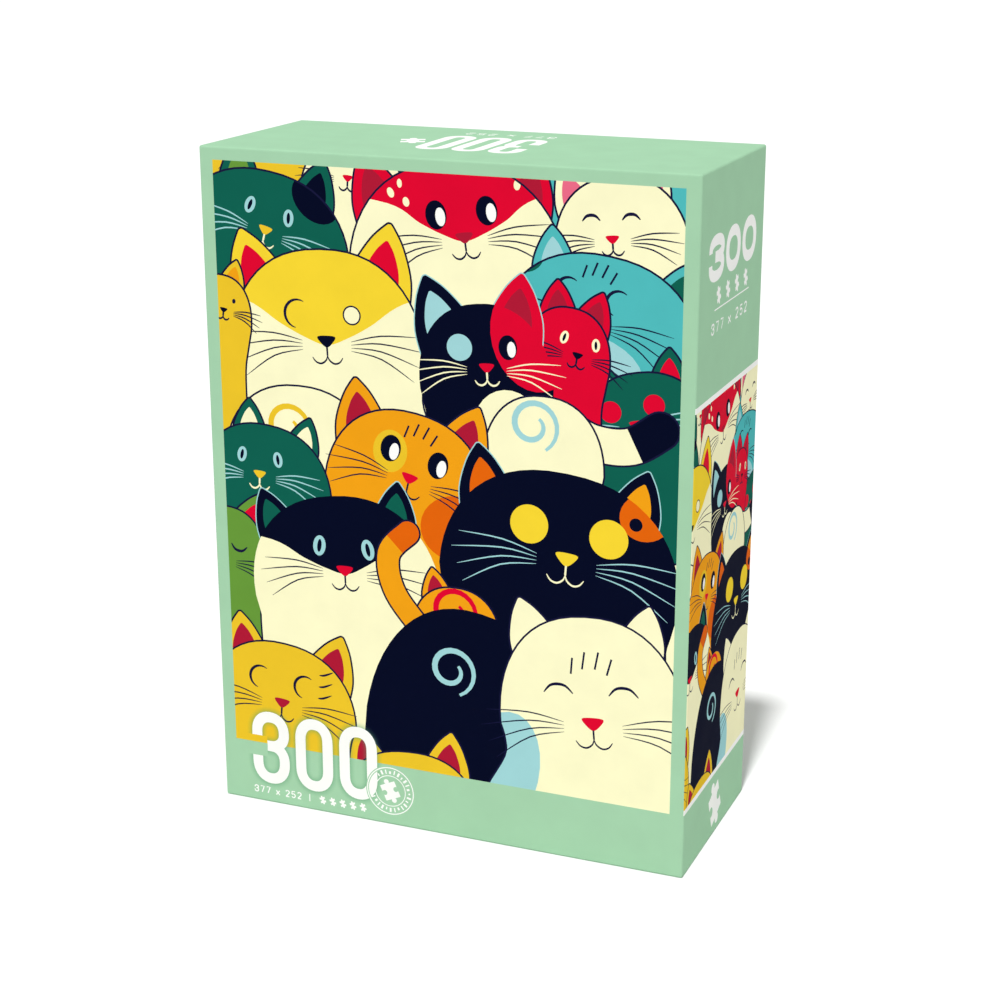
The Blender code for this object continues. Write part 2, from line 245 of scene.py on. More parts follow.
def triangleCovers(verts, faces, result):
    # the shapes over each triangle; where the cutter lost count of a shape, by its area,
    # the triangles inside it are looked up again
    tolerance = {"share": 0.02, "least": 1e-4}
    corners = np.array([tuple(p) for p in result[0]])[np.array(result[2])]
    middles = corners.mean(axis=1)
    edgeA, edgeB = corners[:, 1] - corners[:, 0], corners[:, 2] - corners[:, 0]
    areas = abs(edgeA[:, 0] * edgeB[:, 1] - edgeA[:, 1] * edgeB[:, 0]) / 2
    covers = [set(sources) for sources in result[5]]
    found = np.zeros(len(faces))
    for sources, area in zip(covers, areas):
        for face in sources:
            found[face] += area
    for index, face in enumerate(faces):
        shape = [tuple(verts[k]) for k in face]
        area = abs(signedArea(shape))
        if abs(found[index] - area) < tolerance["share"] * area + tolerance["least"]:
            continue
        ring = np.array(shape)
        within = (middles >= ring.min(axis=0)) & (middles <= ring.max(axis=0))
        near = np.nonzero(within.all(axis=1))[0]
        inside = set(near[insideShape(middles[near], shape)].tolist())
        for number, sources in enumerate(covers):
            if number in inside:
                sources.add(index)
            else:
                sources.discard(index)
    return covers


def mixInks(drawing, over):
    # the colour where these layers lie over each other
    rgb = hexToRgb(inks[drawing["base"]])
    for index in sorted(over):
        layer = drawing["layers"][index]
        if all(k in over for k in layer["clip"]):
            top = hexToRgb(inks[layer["ink"]])
            rgb = tuple(a + (b - a) * layer["alpha"] for a, b in zip(rgb, top))
    return toLinear(rgb)


def compact(points, faces):
    # the points that the faces use, and the faces on their new numbers
    used = sorted({k for face in faces for k in face})
    place = {k: n for n, k in enumerate(used)}
    return [tuple(points[k]) for k in used], [tuple(place[k] for k in face) for face in faces]


def cutPrint(border, drawing, lines=(), cells=()):
    # cuts the sheet along every edge drawn on it: points, triangles, and for each triangle
    # its colour and its cell; a sheet that has cells keeps only what lies in them
    verts, faces, edges, owner = [], [], [], []

    def addFace(shape, layer):
        area = signedArea(shape)
        if abs(area) < 1e-5:
            return
        ring = shape if area > 0 else shape[::-1]
        faces.append(list(range(len(verts), len(verts) + len(ring))))
        verts.extend(Vector(p) for p in ring)
        owner.append(layer)

    # the border is owner -1, the cells count down from -2 and the layers up from 0
    addFace(border, -1)
    for index, cell in enumerate(cells):
        for shape in cell:
            addFace(shape, -2 - index)
    for index, layer in enumerate(drawing["layers"]):
        for shape in layer["shapes"]:
            addFace(shape, index)
    for start, end in lines:
        edges.append((len(verts), len(verts) + 1))
        verts.extend((Vector(start), Vector(end)))
    result = delaunay_2d_cdt(verts, edges, faces, 1, 1e-5, True)
    kept, colors, inCell = [], [], []
    known = {}
    for triangle, sources in zip(result[2], triangleCovers(verts, faces, result)):
        over = {owner[k] for k in sources}
        cell = -2 - min(over, default=0)
        if -1 not in over or (cells and cell < 0):
            continue
        over = frozenset(k for k in over if k >= 0)
        if over not in known:
            known[over] = mixInks(drawing, over)
        kept.append(triangle)
        colors.append(known[over])
        inCell.append(cell)
    points, kept = compact(result[0], kept)
    return points, kept, colors, inCell


def printMesh(name, points, faces, colors, smooth=False):
    # one mesh with the ink colour kept on each face
    mesh = bpy.data.meshes.new(name)
    mesh.from_pydata(points, [], faces)
    ink = mesh.color_attributes.new("ink", "FLOAT_COLOR", "CORNER")
    values = np.ones((len(mesh.loops), 4), dtype=np.float32)
    values[:, :3] = np.repeat(np.array(colors), [len(face) for face in faces], axis=0)
    ink.data.foreach_set("color", values.ravel())
    mesh.polygons.foreach_set("use_smooth", [smooth] * len(mesh.polygons))
    return mesh


def numeralLines(mark, w, h, steps):
    # centre lines of one plain numeral in a box w by h
    half = w / 2

    def bowl(y, rise, start, end):
        # a slightly squared arc as wide as the numeral
        angles = [math.radians(start + (end - start) * k / steps) for k in range(steps + 1)]
        return [(half + half * power(math.cos(a), 0.9), y + rise * power(math.sin(a), 0.9)) for a in angles]

    cap = min(half * 1.2, h / 2)
    if mark == "0":
        loop = bowl(h - cap, cap, 0, 180) + bowl(cap, cap, 180, 360)
        return [loop + loop[:1]]
    if mark == "3":
        high, low, waist = min(cap, h * 0.25), min(cap, h * 0.27), h * 0.53
        upper = [(0, h * 0.68)] + bowl(h - high, high, 180, 0)
        upper += bowl(waist + high * 0.85, high * 0.85, 0, -80) + [(half * 0.75, waist)]
        lower = [(half * 0.75, waist)] + bowl(waist - low * 0.9, low * 0.9, 80, 0)
        lower += bowl(low, low, 0, -180) + [(0, h * 0.35)]
        return [upper, lower]
    if mark == "2":
        return [bowl(h * 0.72, h * 0.28, 165, -25) + [(0, 0)], [(0, 0), (w, 0)]]
    if mark == "5":
        return [[(w * 0.95, h), (w * 0.1, h), (w * 0.04, h * 0.52)],
                [(w * 0.04, h * 0.52)] + bowl(h * 0.31, h * 0.31, 135, -160)]
    if mark == "7":
        return [[(0, h), (w, h), (w * 0.35, 0)]]
    return [[(0, 0), (w, h * 0.7)], [(0, h * 0.7), (w, 0)]]   # the times sign


def numeralShapes(text, x, y, height, stroke, width, gap, steps=12):
    # numerals set side by side from x, y, their outside this high; a space is half as wide
    shapes = []
    for mark in text:
        if mark == " ":
            x += width * 0.5 + gap
            continue
        for line in numeralLines(mark, width - stroke, height - stroke, steps):
            placed = [(x + stroke / 2 + px, y + stroke / 2 + py) for px, py in line]
            closed = math.dist(placed[0], placed[-1]) < 1e-6
            shapes += penStroke(placed[:-1] if closed else placed, stroke, closed=closed)
        x += width + gap
    return shapes


def knobSide(start, end, kind, cut, steps):
    # one cut side, from start up to but not including end; kind 1 is a knob, -1 a socket
    length = math.dist(start, end)
    ux, uy = (end[0] - start[0]) / length, (end[1] - start[1]) / length
    profile = [(0.0, 0.0)]
    if kind:
        middle, reach = length / 2, cut["knobReach"]
        shoulder = [(middle - cut["shoulder"] * 1.35, 0.0), (middle - cut["shoulder"], 0.02 * reach),
                    (middle - cut["neck"], 0.09 * reach)]
        profile += shoulder
        profile += arc(middle, reach - cut["knobRadius"], cut["knobRadius"], 205, -25, steps - 1)
        profile += [(length - px, py) for px, py in shoulder[::-1]]
    return [(start[0] + ux * p + uy * q * kind, start[1] + uy * p - ux * q * kind) for p, q in profile]


def pieceLoop(width, height, kinds, cut, steps=10):
    corners = rectangle(-width / 2, -height / 2, width / 2, height / 2)
    loop = []
    for k in range(4):
        loop += knobSide(corners[k], corners[(k + 1) % 4], kinds[k], cut, steps)
    return loop


def jigsawSign(x, y, size, turn):
    # a small generic jigsaw piece: two knobs and two sockets
    unit = size / 1.5
    cut = {"knobReach": unit * 0.27, "knobRadius": unit * 0.16, "shoulder": unit * 0.17, "neck": unit * 0.1}
    return shiftShape(pieceLoop(unit, unit, (1, -1, 1, -1), cut), 1.0, x, y, turn)


# the picture, a crowd of simple cats, in millimetres as printed on the box front;
# outline and whisker are pen widths
picture = {"width": 132.0, "height": 198.0, "outline": 0.54, "whisker": 0.4}

# at: top of the head; half: half width; drop: how far the head curves down; foot: where the
# body ends; face: x, z, size and turn; ears: offset along the head, height, lean, inside ink
# and maybe an outside ink; patches, from the face: x, z, radii, turn and ink; a cat with a path
# is only a raised tail; noses are red and whiskers dark unless told
crowd = [
    {"ink": "gold", "tilt": 8, "at": (18, 193), "half": 27, "drop": 24, "foot": 140,
     "face": (20, 180, 1.0, 4), "ears": [(-15, 11, -3, "red"), (14, 11, 3, "red")], "eyes": "shut"},
    {"ink": "turquoise", "tilt": -6, "at": (112, 196), "half": 26, "drop": 24, "foot": 140,
     "face": (108, 182, 1.0, -5), "ears": [(-14, 11, -2, "navy"), (15, 11, 3, "navy")],
     "eyes": "disc", "eyeInk": "cream", "nose": "navy"},
    {"ink": "navy", "tilt": 4, "at": (63, 190), "half": 23, "drop": 22, "foot": 150,
     "face": (63, 178, 1.0, 0), "ears": [(-13, 12, -3, "teal"), (13, 12, 3, "teal")],
     "eyes": "disc", "eyeInk": "yellow", "nose": "blush", "whiskers": "sky"},
    {"ink": "cream", "tilt": -10, "at": (41, 176), "half": 15, "drop": 16, "foot": 120,
     "face": (39, 167, 0.7, 6), "ears": [(7, 8, 2, "blush")], "eyes": "dot"},
    {"ink": "teal", "tilt": -9, "at": (13, 166), "half": 27, "drop": 26, "foot": 110,
     "face": (14, 153, 0.95, -6), "ears": [(-9, 9, -2, "leaf"), (14, 10, 4, "navy")],
     "eyes": "slit", "eyeInk": "sky", "nose": "gold", "whiskers": "sky",
     "patches": [(14, 9, 8, 6, -30, "navy")]},
    {"ink": "red", "tilt": 5, "at": (71, 171), "half": 31, "drop": 32, "foot": 110,
     "face": (74, 155, 1.15, 3), "ears": [(-21, 12, -5, "brick"), (22, 11, 5, "brick")],
     "masked": True, "eyes": "wide", "nose": "brick",
     "patches": [(-17, 7.6, 0.8, 1.2, 20, "cream"), (-13.4, 5.4, 0.8, 1.1, 10, "cream"),
                 (-14.6, 9.6, 0.6, 1.0, 0, "cream"), (13.8, 8.4, 0.8, 1.2, -10, "cream"),
                 (17.6, 8.0, 0.7, 1.0, -20, "cream")]},
    {"ink": "cream", "tilt": 9, "at": (116, 170), "half": 18, "drop": 20, "foot": 125,
     "face": (114, 157, 0.85, -4), "ears": [(-11, 9, -3, "blush"), (10, 8, 3, "blush")],
     "eyes": "smile"},
    {"ink": "turquoise", "tilt": -8, "at": (109, 150), "half": 28, "drop": 27, "foot": 95,
     "face": (106, 136, 1.1, -3), "ears": [(-15, 9, -3, "sky"), (19, 10, 5, "teal")],
     "eyes": "moon", "nose": "navy", "brow": True,
     "patches": [(0, -15, 15, 9, 0, "sky"), (-17, 8, 4, 3, 30, "teal")]},
    {"ink": "yellow", "tilt": 3, "at": (33, 146), "half": 29, "drop": 30, "foot": 80,
     "face": (33, 125, 1.3, 0), "ears": [(-20, 14, -4, "red"), (18, 14, 4, "red")],
     "masked": True, "eyes": ("moon", "ring"), "nose": "navy"},
    {"ink": "gold", "tilt": -8, "at": (0, 137), "half": 10, "drop": 14, "foot": 90,
     "face": (1, 129, 0.55, 0), "ears": [(3, 6, 1, "orange")], "eyes": "dot", "nose": "navy"},
    {"ink": "teal", "tilt": 10, "at": (124, 121), "half": 18, "drop": 19, "foot": 70,
     "face": (121, 110, 0.8, 4), "ears": [(-10, 8, -3, "cream"), (8, 8, 2, "red")],
     "eyes": "disc", "eyeInk": "red", "whiskers": "sky"},
    {"ink": "red", "tilt": -7, "at": (101, 136), "half": 12, "drop": 15, "foot": 88,
     "face": (104, 126, 0.7, -3), "ears": [(-4, 8, -2, "brick"), (6, 8, 2, "brick")],
     "eyes": "slit", "eyeInk": "cream", "nose": "navy"},
    {"ink": "navy", "tilt": 7, "at": (79, 135), "half": 19, "drop": 22, "foot": 80,
     "face": (80, 121, 1.0, -4), "ears": [(-11, 13, -3, "sky"), (11, 12, 3, "brick", "red")],
     "eyes": ("disc", "wide"), "eyeInk": "sky", "whiskers": "cream",
     "patches": [(13.6, 4.5, 11.6, 14.5, 8, "red"), (4, -20, 10, 11, 0, "cream")]},
    {"path": [(86, 101), (98, 105), (109, 101), (119, 101), (127, 106)], "width": 10,
     "ink": "cream", "tip": "navy"},
    {"ink": "cream", "at": (95, 112), "half": 17, "drop": 20, "foot": 70, "face": (92, 104, 0, 0),
     "tail": "sky"},
    {"ink": "cream", "at": (24, 108), "half": 24, "drop": 26, "foot": 60, "face": (20, 96, 0, 0),
     "tail": "gold"},
    {"ink": "orange", "tilt": -9, "at": (55, 104), "half": 24, "drop": 24, "foot": 45,
     "face": (56, 89, 1.15, -5), "ears": [(-16, 12, -4, "brick"), (15, 12, 4, "brick")],
     "eyes": "wide", "brow": True,
     "patches": [(-6, 2.4, 4.4, 5.2, 0, "gold"), (13, -12, 9, 8, 20, "rust")]},
    {"ink": "teal", "tilt": -6, "at": (12, 96), "half": 21, "drop": 22, "foot": 40,
     "face": (10, 84, 0.9, 3), "ears": [(-6, 8, -2, "cream"), (11, 8, 3, "cream")],
     "eyes": "slit", "eyeInk": "sky", "nose": "gold", "whiskers": "sky"},
    {"ink": "navy", "tilt": -5, "at": (99, 92), "half": 34, "drop": 32, "foot": 20,
     "face": (101, 73, 1.5, 1), "ears": [(-23, 12, -5, "rust"), (20, 11, 4, "orange")],
     "eyes": "disc", "eyeInk": "yellow", "nose": "yellow", "whiskers": "sky",
     "patches": [(13.6, 7.6, 4.8, 4.3, 24, "rust"), (12.0, 6.0, 1.2, 1.2, 0, "navy")]},
    {"ink": "leaf", "tilt": -8, "at": (-1, 71), "half": 13, "drop": 18, "foot": 20,
     "face": (-3, 58, 0.9, 0), "ears": [(7, 10, 2, "red")], "eyes": "shut"},
    {"ink": "navy", "tilt": 9, "at": (37, 78), "half": 29, "drop": 28, "foot": -8,
     "face": (38, 60, 1.2, -7), "ears": [(-19, 10, -4, "teal"), (19, 10, 4, "teal")],
     "masked": True, "eyes": "slit", "eyeInk": "sky"},
    {"ink": "orange", "at": (70, 56), "half": 13, "drop": 14, "foot": 10,
     "face": (69, 49, 0, 0), "ears": [(-6, 7, -2, "brick")], "tail": "red"},
    {"path": [(62, 40), (52, 52), (50, 63), (56, 70)], "width": 7, "ink": "orange", "tip": "rust"},
    {"ink": "navy", "tilt": -10, "at": (71, 50), "half": 29, "drop": 38, "foot": -70,
     "face": (65, 31, 0, 0), "tail": "sky"},
    {"ink": "cream", "tilt": 5, "at": (110, 53), "half": 27, "drop": 32, "foot": -8, "sway": -0.12,
     "face": (110, 27, 1.5, 0), "ears": [(-16, 11, -3, "cream"), (16, 10, 3, "cream")],
     "eyes": "smile", "brow": True, "patches": [(-20, -15, 8, 14, -24, "sky")]},
    {"ink": "gold", "tilt": -5, "at": (15, 32), "half": 24, "drop": 24, "foot": -8,
     "face": (15, 17, 1.15, 0), "ears": [(-13, 11, -3, "brick"), (15, 12, 3, "brick")],
     "eyes": "moon", "nose": "brick", "stripes": True},
    {"ink": "gold", "tilt": 4, "at": (56, 5), "half": 19, "drop": 14, "foot": -14,
     "face": (56, -2, 0, 0), "ears": [(-13, 10, -3, "brick"), (12, 11, 3, "brick")]},
]


# powers that square the dome of a head off a little
dome = {"across": 0.86, "up": 0.94}


def headLoop(cat):
    # a broad dome, drawn in a little under the cheeks, over a body that spreads to its foot
    x, top = cat["at"]
    half, drop = cat["half"], cat["drop"]
    middle = top - drop
    crown = []
    for k in range(1, 28):
        angle = math.pi * k / 28
        crown.append((x + half * power(math.cos(angle), dome["across"]),
                      middle + drop * power(math.sin(angle), dome["up"])))
    sway = cat.get("sway", 0.0) * half
    # shares of the half width, of the sway and of the height below the dome
    spread = ((1.0, 0.0, 0.0), (0.965, 0.0, 0.16), (0.95, 0.3, 0.34), (1.1, 1.0, 0.68), (1.24, 1.0, 1.0))
    sides = []
    for side in (-1, 1):
        sides.append([(x + side * half * wide + sway * bend, middle - (middle - cat["foot"]) * low)
                      for wide, bend, low in spread])
    return crown + curveThrough(sides[0], 4) + curveThrough(sides[1][::-1], 4)


def headTop(cat, offset):
    # height of the dome this far from its middle
    share = min(abs(offset) / cat["half"], 0.98)
    angle = math.acos(share ** (1 / dome["across"]))
    return cat["at"][1] - cat["drop"] + cat["drop"] * math.sin(angle) ** dome["up"]


def earLoop(cat, ear, inner=False):
    # an ear leans half way between upright and square to the head; its foot is hidden in the head
    offset, height, lean = ear[:3]
    slope = headTop(cat, offset + 0.5) - headTop(cat, offset - 0.5)
    turn = math.degrees(lean * 0.012 - 0.45 * math.atan2(-slope, 1.0))
    half = height * (0.36 if inner else 0.62)
    tip = height * (0.56 if inner else 0.9)
    right = curveThrough([(half * 1.1, -height * 0.75), (half, -0.1 * height), (half * 0.58, tip * 0.55),
                          (half * 0.13, tip * 0.95), (0, tip)], 5)
    left = [(-u, v) for u, v in right[-2::-1]]
    return shiftShape(right + left, 1.0, cat["at"][0] + offset, headTop(cat, offset), turn)


def drawEye(cat, kind, side, ink, pen):
    # one eye, its shapes laid on with ink or as lines with pen
    dark = cat["ink"] in ("navy", "teal")
    lidPen = "cream" if dark and "masked" not in cat else "line"
    width = picture["outline"]
    ex, ez = side * 6.2, 2.6
    if kind == "wide":
        ink("navy", oval(ex, ez, 2.6, 3.3))
        ink("white", oval(ex + 1.0, ez - 0.5, 1.2, 2.1))
    elif kind == "disc":
        reach = 3.6 if dark else 3.0
        disc = oval(ex * reach / 3.0, ez - 0.4, reach, reach, steps=36)
        ink(cat["eyeInk"], disc)
        if not dark:
            pen("line", disc, width, closed=True)
            ink("navy", oval(ex + 0.4, ez, 1.1, 1.6))
    elif kind == "slit":
        ink(cat["eyeInk"], oval(ex, ez, 1.6, 2.5, side * 10))
        ink("navy", oval(ex, ez, 0.55, 1.6, side * 10))
    elif kind == "moon":
        pen(lidPen, arc(ex, ez, 3.0, 60, 256, 14), width * 1.6, taper=0.25)
    elif kind == "ring":
        ring = oval(ex, ez, 1.9, 1.9, steps=32)
        ink("cream", ring)
        pen("line", ring, width * 0.8, closed=True)
    elif kind == "dot":
        ink("line", oval(ex * 0.85, ez, 0.95, 1.25))
    else:
        lift = 1.7 if kind == "smile" else -1.9
        lid = [(ex - 2.8, ez), (ex - 1.5, ez + lift * 0.8), (ex, ez + lift),
               (ex + 1.5, ez + lift * 0.8), (ex + 2.8, ez)]
        pen(lidPen, curveThrough(lid, 4), width * 1.6, taper=0.3)


def drawFace(drawing, cat, body):
    fx, fz, size, turn = cat["face"]
    width = picture["outline"]
    coatPen = "cream" if cat["ink"] in ("navy", "teal") else "line"
    mouthPen = "line" if "masked" in cat else coatPen

    def ink(name, shape):
        addLayer(drawing, name, [shiftShape(shape, size, fx, fz, turn)], clip=(body,))

    def pen(name, line, penWidth, clip=(body,), **kind):
        stroke = penStroke(shiftShape(line, size, fx, fz, turn), penWidth, **kind)
        addLayer(drawing, name, stroke, clip=clip)

    kinds = cat["eyes"] if isinstance(cat["eyes"], tuple) else (cat["eyes"], cat["eyes"])
    for side, kind in zip((-1, 1), kinds):
        drawEye(cat, kind, side, ink, pen)
    nose = [(-2.1, -2.1), (0, -1.8), (2.1, -2.1), (1.1, -3.6), (0, -4.3), (-1.1, -3.6)]
    ink(cat.get("nose", "red"), curveThrough(nose, 4, closed=True))
    pen(mouthPen, [(0, -4.2), (0, -6.0)], width)
    for side in (-1, 1):
        lip = [(0, -6.0), (side * 0.4, -7.0), (side * 1.5, -7.7), (side * 2.7, -7.4), (side * 3.5, -6.4)]
        pen(mouthPen, curveThrough(lip, 4), width, taper=0.4)
    for side in (-1, 1):
        for k in range(4):
            rise = 1.1 - 1.3 * k
            hair = [(side * 5.6, -3.5 + rise * 0.5), (side * 12.4, -2.9 + rise * 1.25),
                    (side * (22.0 - 1.3 * abs(k - 1)), -4.2 + rise * 2.4)]
            pen(cat.get("whiskers", "line"), curveThrough(hair, 4), picture["whisker"], clip=(), taper=0.25)
    if "stripes" in cat:
        for low in (0.0, 3.1, 6.2):
            mark = [(13.5, 8.5 - low), (11.2, 7.2 - low), (9.8, 6.9 - low)]
            pen(coatPen, curveThrough(mark, 4), width * 1.2, taper=0.2)
    if "brow" in cat:
        for side in (-1.6, -0.6, 0.5, 1.5):
            pen(coatPen, [(side * 2.4 + 0.8, 11.4 - abs(side) * 1.2), (side * 2.2, 8.0 - abs(side))], width)


def drawTail(drawing, tail):
    # a raised tail: a broad curved stroke with a round tip of another ink
    line = curveThrough(tail["path"], 8)
    width = tail["width"]
    shape = penStroke(line, width)[0]
    cap = oval(*line[-1], width / 2, width / 2)
    body = addLayer(drawing, tail["ink"], [shape, cap])
    addLayer(drawing, tail["tip"], penStroke(line[-(len(line) // 4):], width) + [cap], clip=(body,))
    # one pen line up one side, round the tip and down the other
    toward = math.degrees(math.atan2(line[-1][1] - line[-2][1], line[-1][0] - line[-2][0]))
    tip = arc(*line[-1], width / 2, toward + 75, toward - 75, 10)
    edge = shape[:len(line)] + tip + shape[len(line):]
    addLayer(drawing, "line", penStroke(edge, picture["outline"]))


def drawCat(drawing, cat):
    width = picture["outline"]
    pen, penWidth = ("sky", width * 0.6) if cat["ink"] == "navy" else ("line", width)
    for ear in cat.get("ears", ()):
        loop = earLoop(cat, ear)
        addLayer(drawing, ear[4] if len(ear) > 4 else cat["ink"], [loop])
        addLayer(drawing, pen, penStroke(loop, penWidth))
        addLayer(drawing, ear[3], [earLoop(cat, ear, inner=True)])
    head = headLoop(cat)
    body = addLayer(drawing, cat["ink"], [head])
    fx, fz, size, turn = cat["face"]
    if "masked" in cat:
        # the coat comes down to a point over the nose, as on a mask; cream below it
        half, low = cat["half"] + 12, cat["foot"] - 4
        edge = [(half / size, 9.0), (18.0, 5.2), (10.5, 0.6), (5.0, -2.2)]
        edge = [(-px, pz) for px, pz in edge] + [(0, -3.8)] + edge[::-1]
        edge = curveThrough([(fx + px * size, fz + pz * size) for px, pz in edge], 6)
        x = cat["at"][0]
        addLayer(drawing, "cream", [edge + [(x + half, low), (x - half, low)]], clip=(body,))
    for dx, dz, rx, ry, lean, ink in cat.get("patches", ()):
        patch = oval(fx + dx * size, fz + dz * size, rx * size, ry * size, lean)
        addLayer(drawing, ink, [patch], clip=(body,))
    if cat["ink"] != "navy":
        addLayer(drawing, "line", penStroke(head, width, closed=True))
    if "tail" in cat:
        # a cat seen from behind, its tail curled on its back
        coil = []
        for k in range(30):
            angle, reach = math.radians(16 * k - 60), 7.5 - 0.17 * k
            coil.append((fx + reach * math.cos(angle), fz + reach * math.sin(angle)))
        addLayer(drawing, cat["tail"], penStroke(coil, 1.7, taper=0.5), clip=(body,))
    if "eyes" in cat:
        drawFace(drawing, cat, body)


def drawPicture():
    drawing = newDrawing("cream")
    for cat in crowd:
        if "path" in cat:
            drawTail(drawing, cat)
            continue
        upright = newDrawing("cream")
        drawCat(upright, cat)
        # the whole cat leans about the middle of its head
        x, z, tilt = cat["at"][0], cat["at"][1] - cat["drop"], cat.get("tilt", 0)
        lean = math.radians(tilt)
        px = x - x * math.cos(lean) + z * math.sin(lean)
        pz = z - x * math.sin(lean) - z * math.cos(lean)
        moveLayers(drawing, upright["layers"], lambda shape: shiftShape(shape, 1.0, px, pz, tilt))
    return drawing


pictureDrawing = drawPicture()
print("picture drawn:", len(pictureDrawing["layers"]), "layers")


def printedPaper(look):
    # offset ink on art paper: even colour, a slightly clouded gloss and a fine paper grain
    material = newMaterial(look["name"], {"IOR": 1.49, "Specular IOR Level": look["shine"]})
    ink = addNode(material, "ShaderNodeAttribute", {"attribute_name": "ink"})
    place = addNode(material, "ShaderNodeTexCoord")
    mottle = addNode(material, "ShaderNodeTexNoise", {"Scale": 1000 / look["mottleMm"], "Detail": 3.0},
                     {"Vector": place.outputs["Object"]})
    fibre = addNode(material, "ShaderNodeTexNoise", {"Scale": 1000 / look["fibreMm"], "Detail": 2.0},
                    {"Vector": place.outputs["Object"]})
    shade = addNode(material, "ShaderNodeValToRGB", {"stops": [(0.3, grey(0.955)), (0.7, grey(1.0))]},
                    {"Fac": mottle.outputs["Fac"]})
    tint = addNode(material, "ShaderNodeMix", {"data_type": "RGBA", "blend_type": "MULTIPLY", 0: 1.0},
                   {6: ink.outputs["Color"], 7: shade.outputs["Color"]})
    low, high = grey(look["roughness"] - 0.05), grey(look["roughness"] + 0.06)
    rough = addNode(material, "ShaderNodeValToRGB", {"stops": [(0.25, low), (0.75, high)]},
                    {"Fac": mottle.outputs["Fac"]})
    bump = addNode(material, "ShaderNodeBump", {"Strength": look["grain"], "Distance": 0.00005},
                   {"Height": fibre.outputs["Fac"]})
    plugIn(material, {"Base Color": tint.outputs[2], "Roughness": rough.outputs["Color"],
                      "Normal": bump.outputs["Normal"]})
    return material


def greyBoard(name, grain):
    # recycled grey board: felted fibre with darker and paler flecks, dead matt
    look = {"fleckMm": 0.7, "fibreMm": 2.2, "base": "#C2BBAE", "dark": "#A89F92", "pale": "#D6D0C4",
            "fleck": "#DDDAD7"}
    material = newMaterial(name, {"Roughness": 0.92, "IOR": 1.47, "Sheen Weight": 0.1})
    place = addNode(material, "ShaderNodeTexCoord")
    flecks = addNode(material, "ShaderNodeTexNoise", {"Scale": 1000 / look["fleckMm"], "Detail": 4.0},
                     {"Vector": place.outputs["Object"]})
    stretch = addNode(material, "ShaderNodeMapping", {"Scale": grain}, {"Vector": place.outputs["Object"]})
    fibre = addNode(material, "ShaderNodeTexNoise",
                    {"Scale": 1000 / look["fibreMm"], "Detail": 5.0, "Distortion": 0.6},
                    {"Vector": stretch.outputs["Vector"]})
    body = addNode(material, "ShaderNodeValToRGB",
                   {"stops": [(0.3, hexColor(look["dark"])), (0.5, hexColor(look["base"])),
                              (0.72, hexColor(look["pale"]))]}, {"Fac": fibre.outputs["Fac"]})
    spots = addNode(material, "ShaderNodeValToRGB",
                    {"stops": [(0.36, hexColor(look["fleck"])), (0.46, grey(1.0))]},
                    {"Fac": flecks.outputs["Fac"]})
    mix = addNode(material, "ShaderNodeMix", {"data_type": "RGBA", "blend_type": "MULTIPLY", 0: 0.8},
                  {6: body.outputs["Color"], 7: spots.outputs["Color"]})
    bump = addNode(material, "ShaderNodeBump", {"Strength": 0.25, "Distance": 0.00015},
                   {"Height": fibre.outputs["Fac"]})
    plugIn(material, {"Base Color": mix.outputs[2], "Normal": bump.outputs["Normal"]})
    return material


def plainPaper(name, color, roughness):
    # uncoated paper: faint cloudy formation and short fibres
    look = {"cloudMm": 3.0, "fibreMm": 0.4}
    material = newMaterial(name, {"Roughness": roughness, "IOR": 1.48, "Sheen Weight": 0.06})
    place = addNode(material, "ShaderNodeTexCoord")
    cloud = addNode(material, "ShaderNodeTexNoise", {"Scale": 1000 / look["cloudMm"], "Detail": 4.0},
                    {"Vector": place.outputs["Object"]})
    fibre = addNode(material, "ShaderNodeTexNoise", {"Scale": 1000 / look["fibreMm"], "Detail": 3.0},
                    {"Vector": place.outputs["Object"]})
    pale = hexColor(color)
    dull = (*(c * 0.93 for c in pale[:3]), 1.0)
    tone = addNode(material, "ShaderNodeValToRGB", {"stops": [(0.3, dull), (0.65, pale)]},
                   {"Fac": cloud.outputs["Fac"]})
    bump = addNode(material, "ShaderNodeBump", {"Strength": 0.12, "Distance": 0.00006},
                   {"Height": fibre.outputs["Fac"]})
    plugIn(material, {"Base Color": tone.outputs["Color"], "Normal": bump.outputs["Normal"]})
    return material


def clearFilm(look):
    # cast polypropylene film: nearly invisible face on; at glancing angles the white film turns more opaque,
    # a painted reflection that gives the bright streaks where it turns
    material = newMaterial(look["name"], {"Base Color": hexColor(look["tint"]), "IOR": 1.49,
                                          "Roughness": look["roughness"]})
    place = addNode(material, "ShaderNodeTexCoord")
    ripple = addNode(material, "ShaderNodeTexNoise",
                     {"Scale": 1000 / look["rippleMm"], "Detail": 3.0, "Distortion": 1.2},
                     {"Vector": place.outputs["Object"]})
    bump = addNode(material, "ShaderNodeBump", {"Strength": 0.5, "Distance": 0.0005},
                   {"Height": ripple.outputs["Fac"]})
    edge = addNode(material, "ShaderNodeLayerWeight", {"Blend": 0.3}, {"Normal": bump.outputs["Normal"]})
    # opacity of the white film rises towards glancing angles: the film's own faint body face on, and painted
    # reflection in place of real gloss at the turns
    filmAndPaintedReflection = addNode(material, "ShaderNodeValToRGB",
                   {"stops": [(0.1, grey(0.035)), (0.6, grey(0.09)), (0.95, grey(0.42))]},
                   {"Fac": edge.outputs["Facing"]})
    plugIn(material, {"Normal": bump.outputs["Normal"], "Alpha": filmAndPaintedReflection.outputs["Color"]})
    return material


# matt soft-touch film over the box wrap: deep even inks and next to no gloss
printPaper = printedPaper({"name": "softTouchPrintedPaper", "roughness": 0.7, "shine": 0.012,
                           "fibreMm": 0.35, "mottleMm": 9.0, "grain": 0.06})
# water-based varnish over the puzzle print: a low satin shine on each piece
piecePrint = printedPaper({"name": "varnishedPuzzlePrint", "roughness": 0.4, "shine": 0.4,
                           "fibreMm": 0.6, "mottleMm": 5.0, "grain": 0.14})
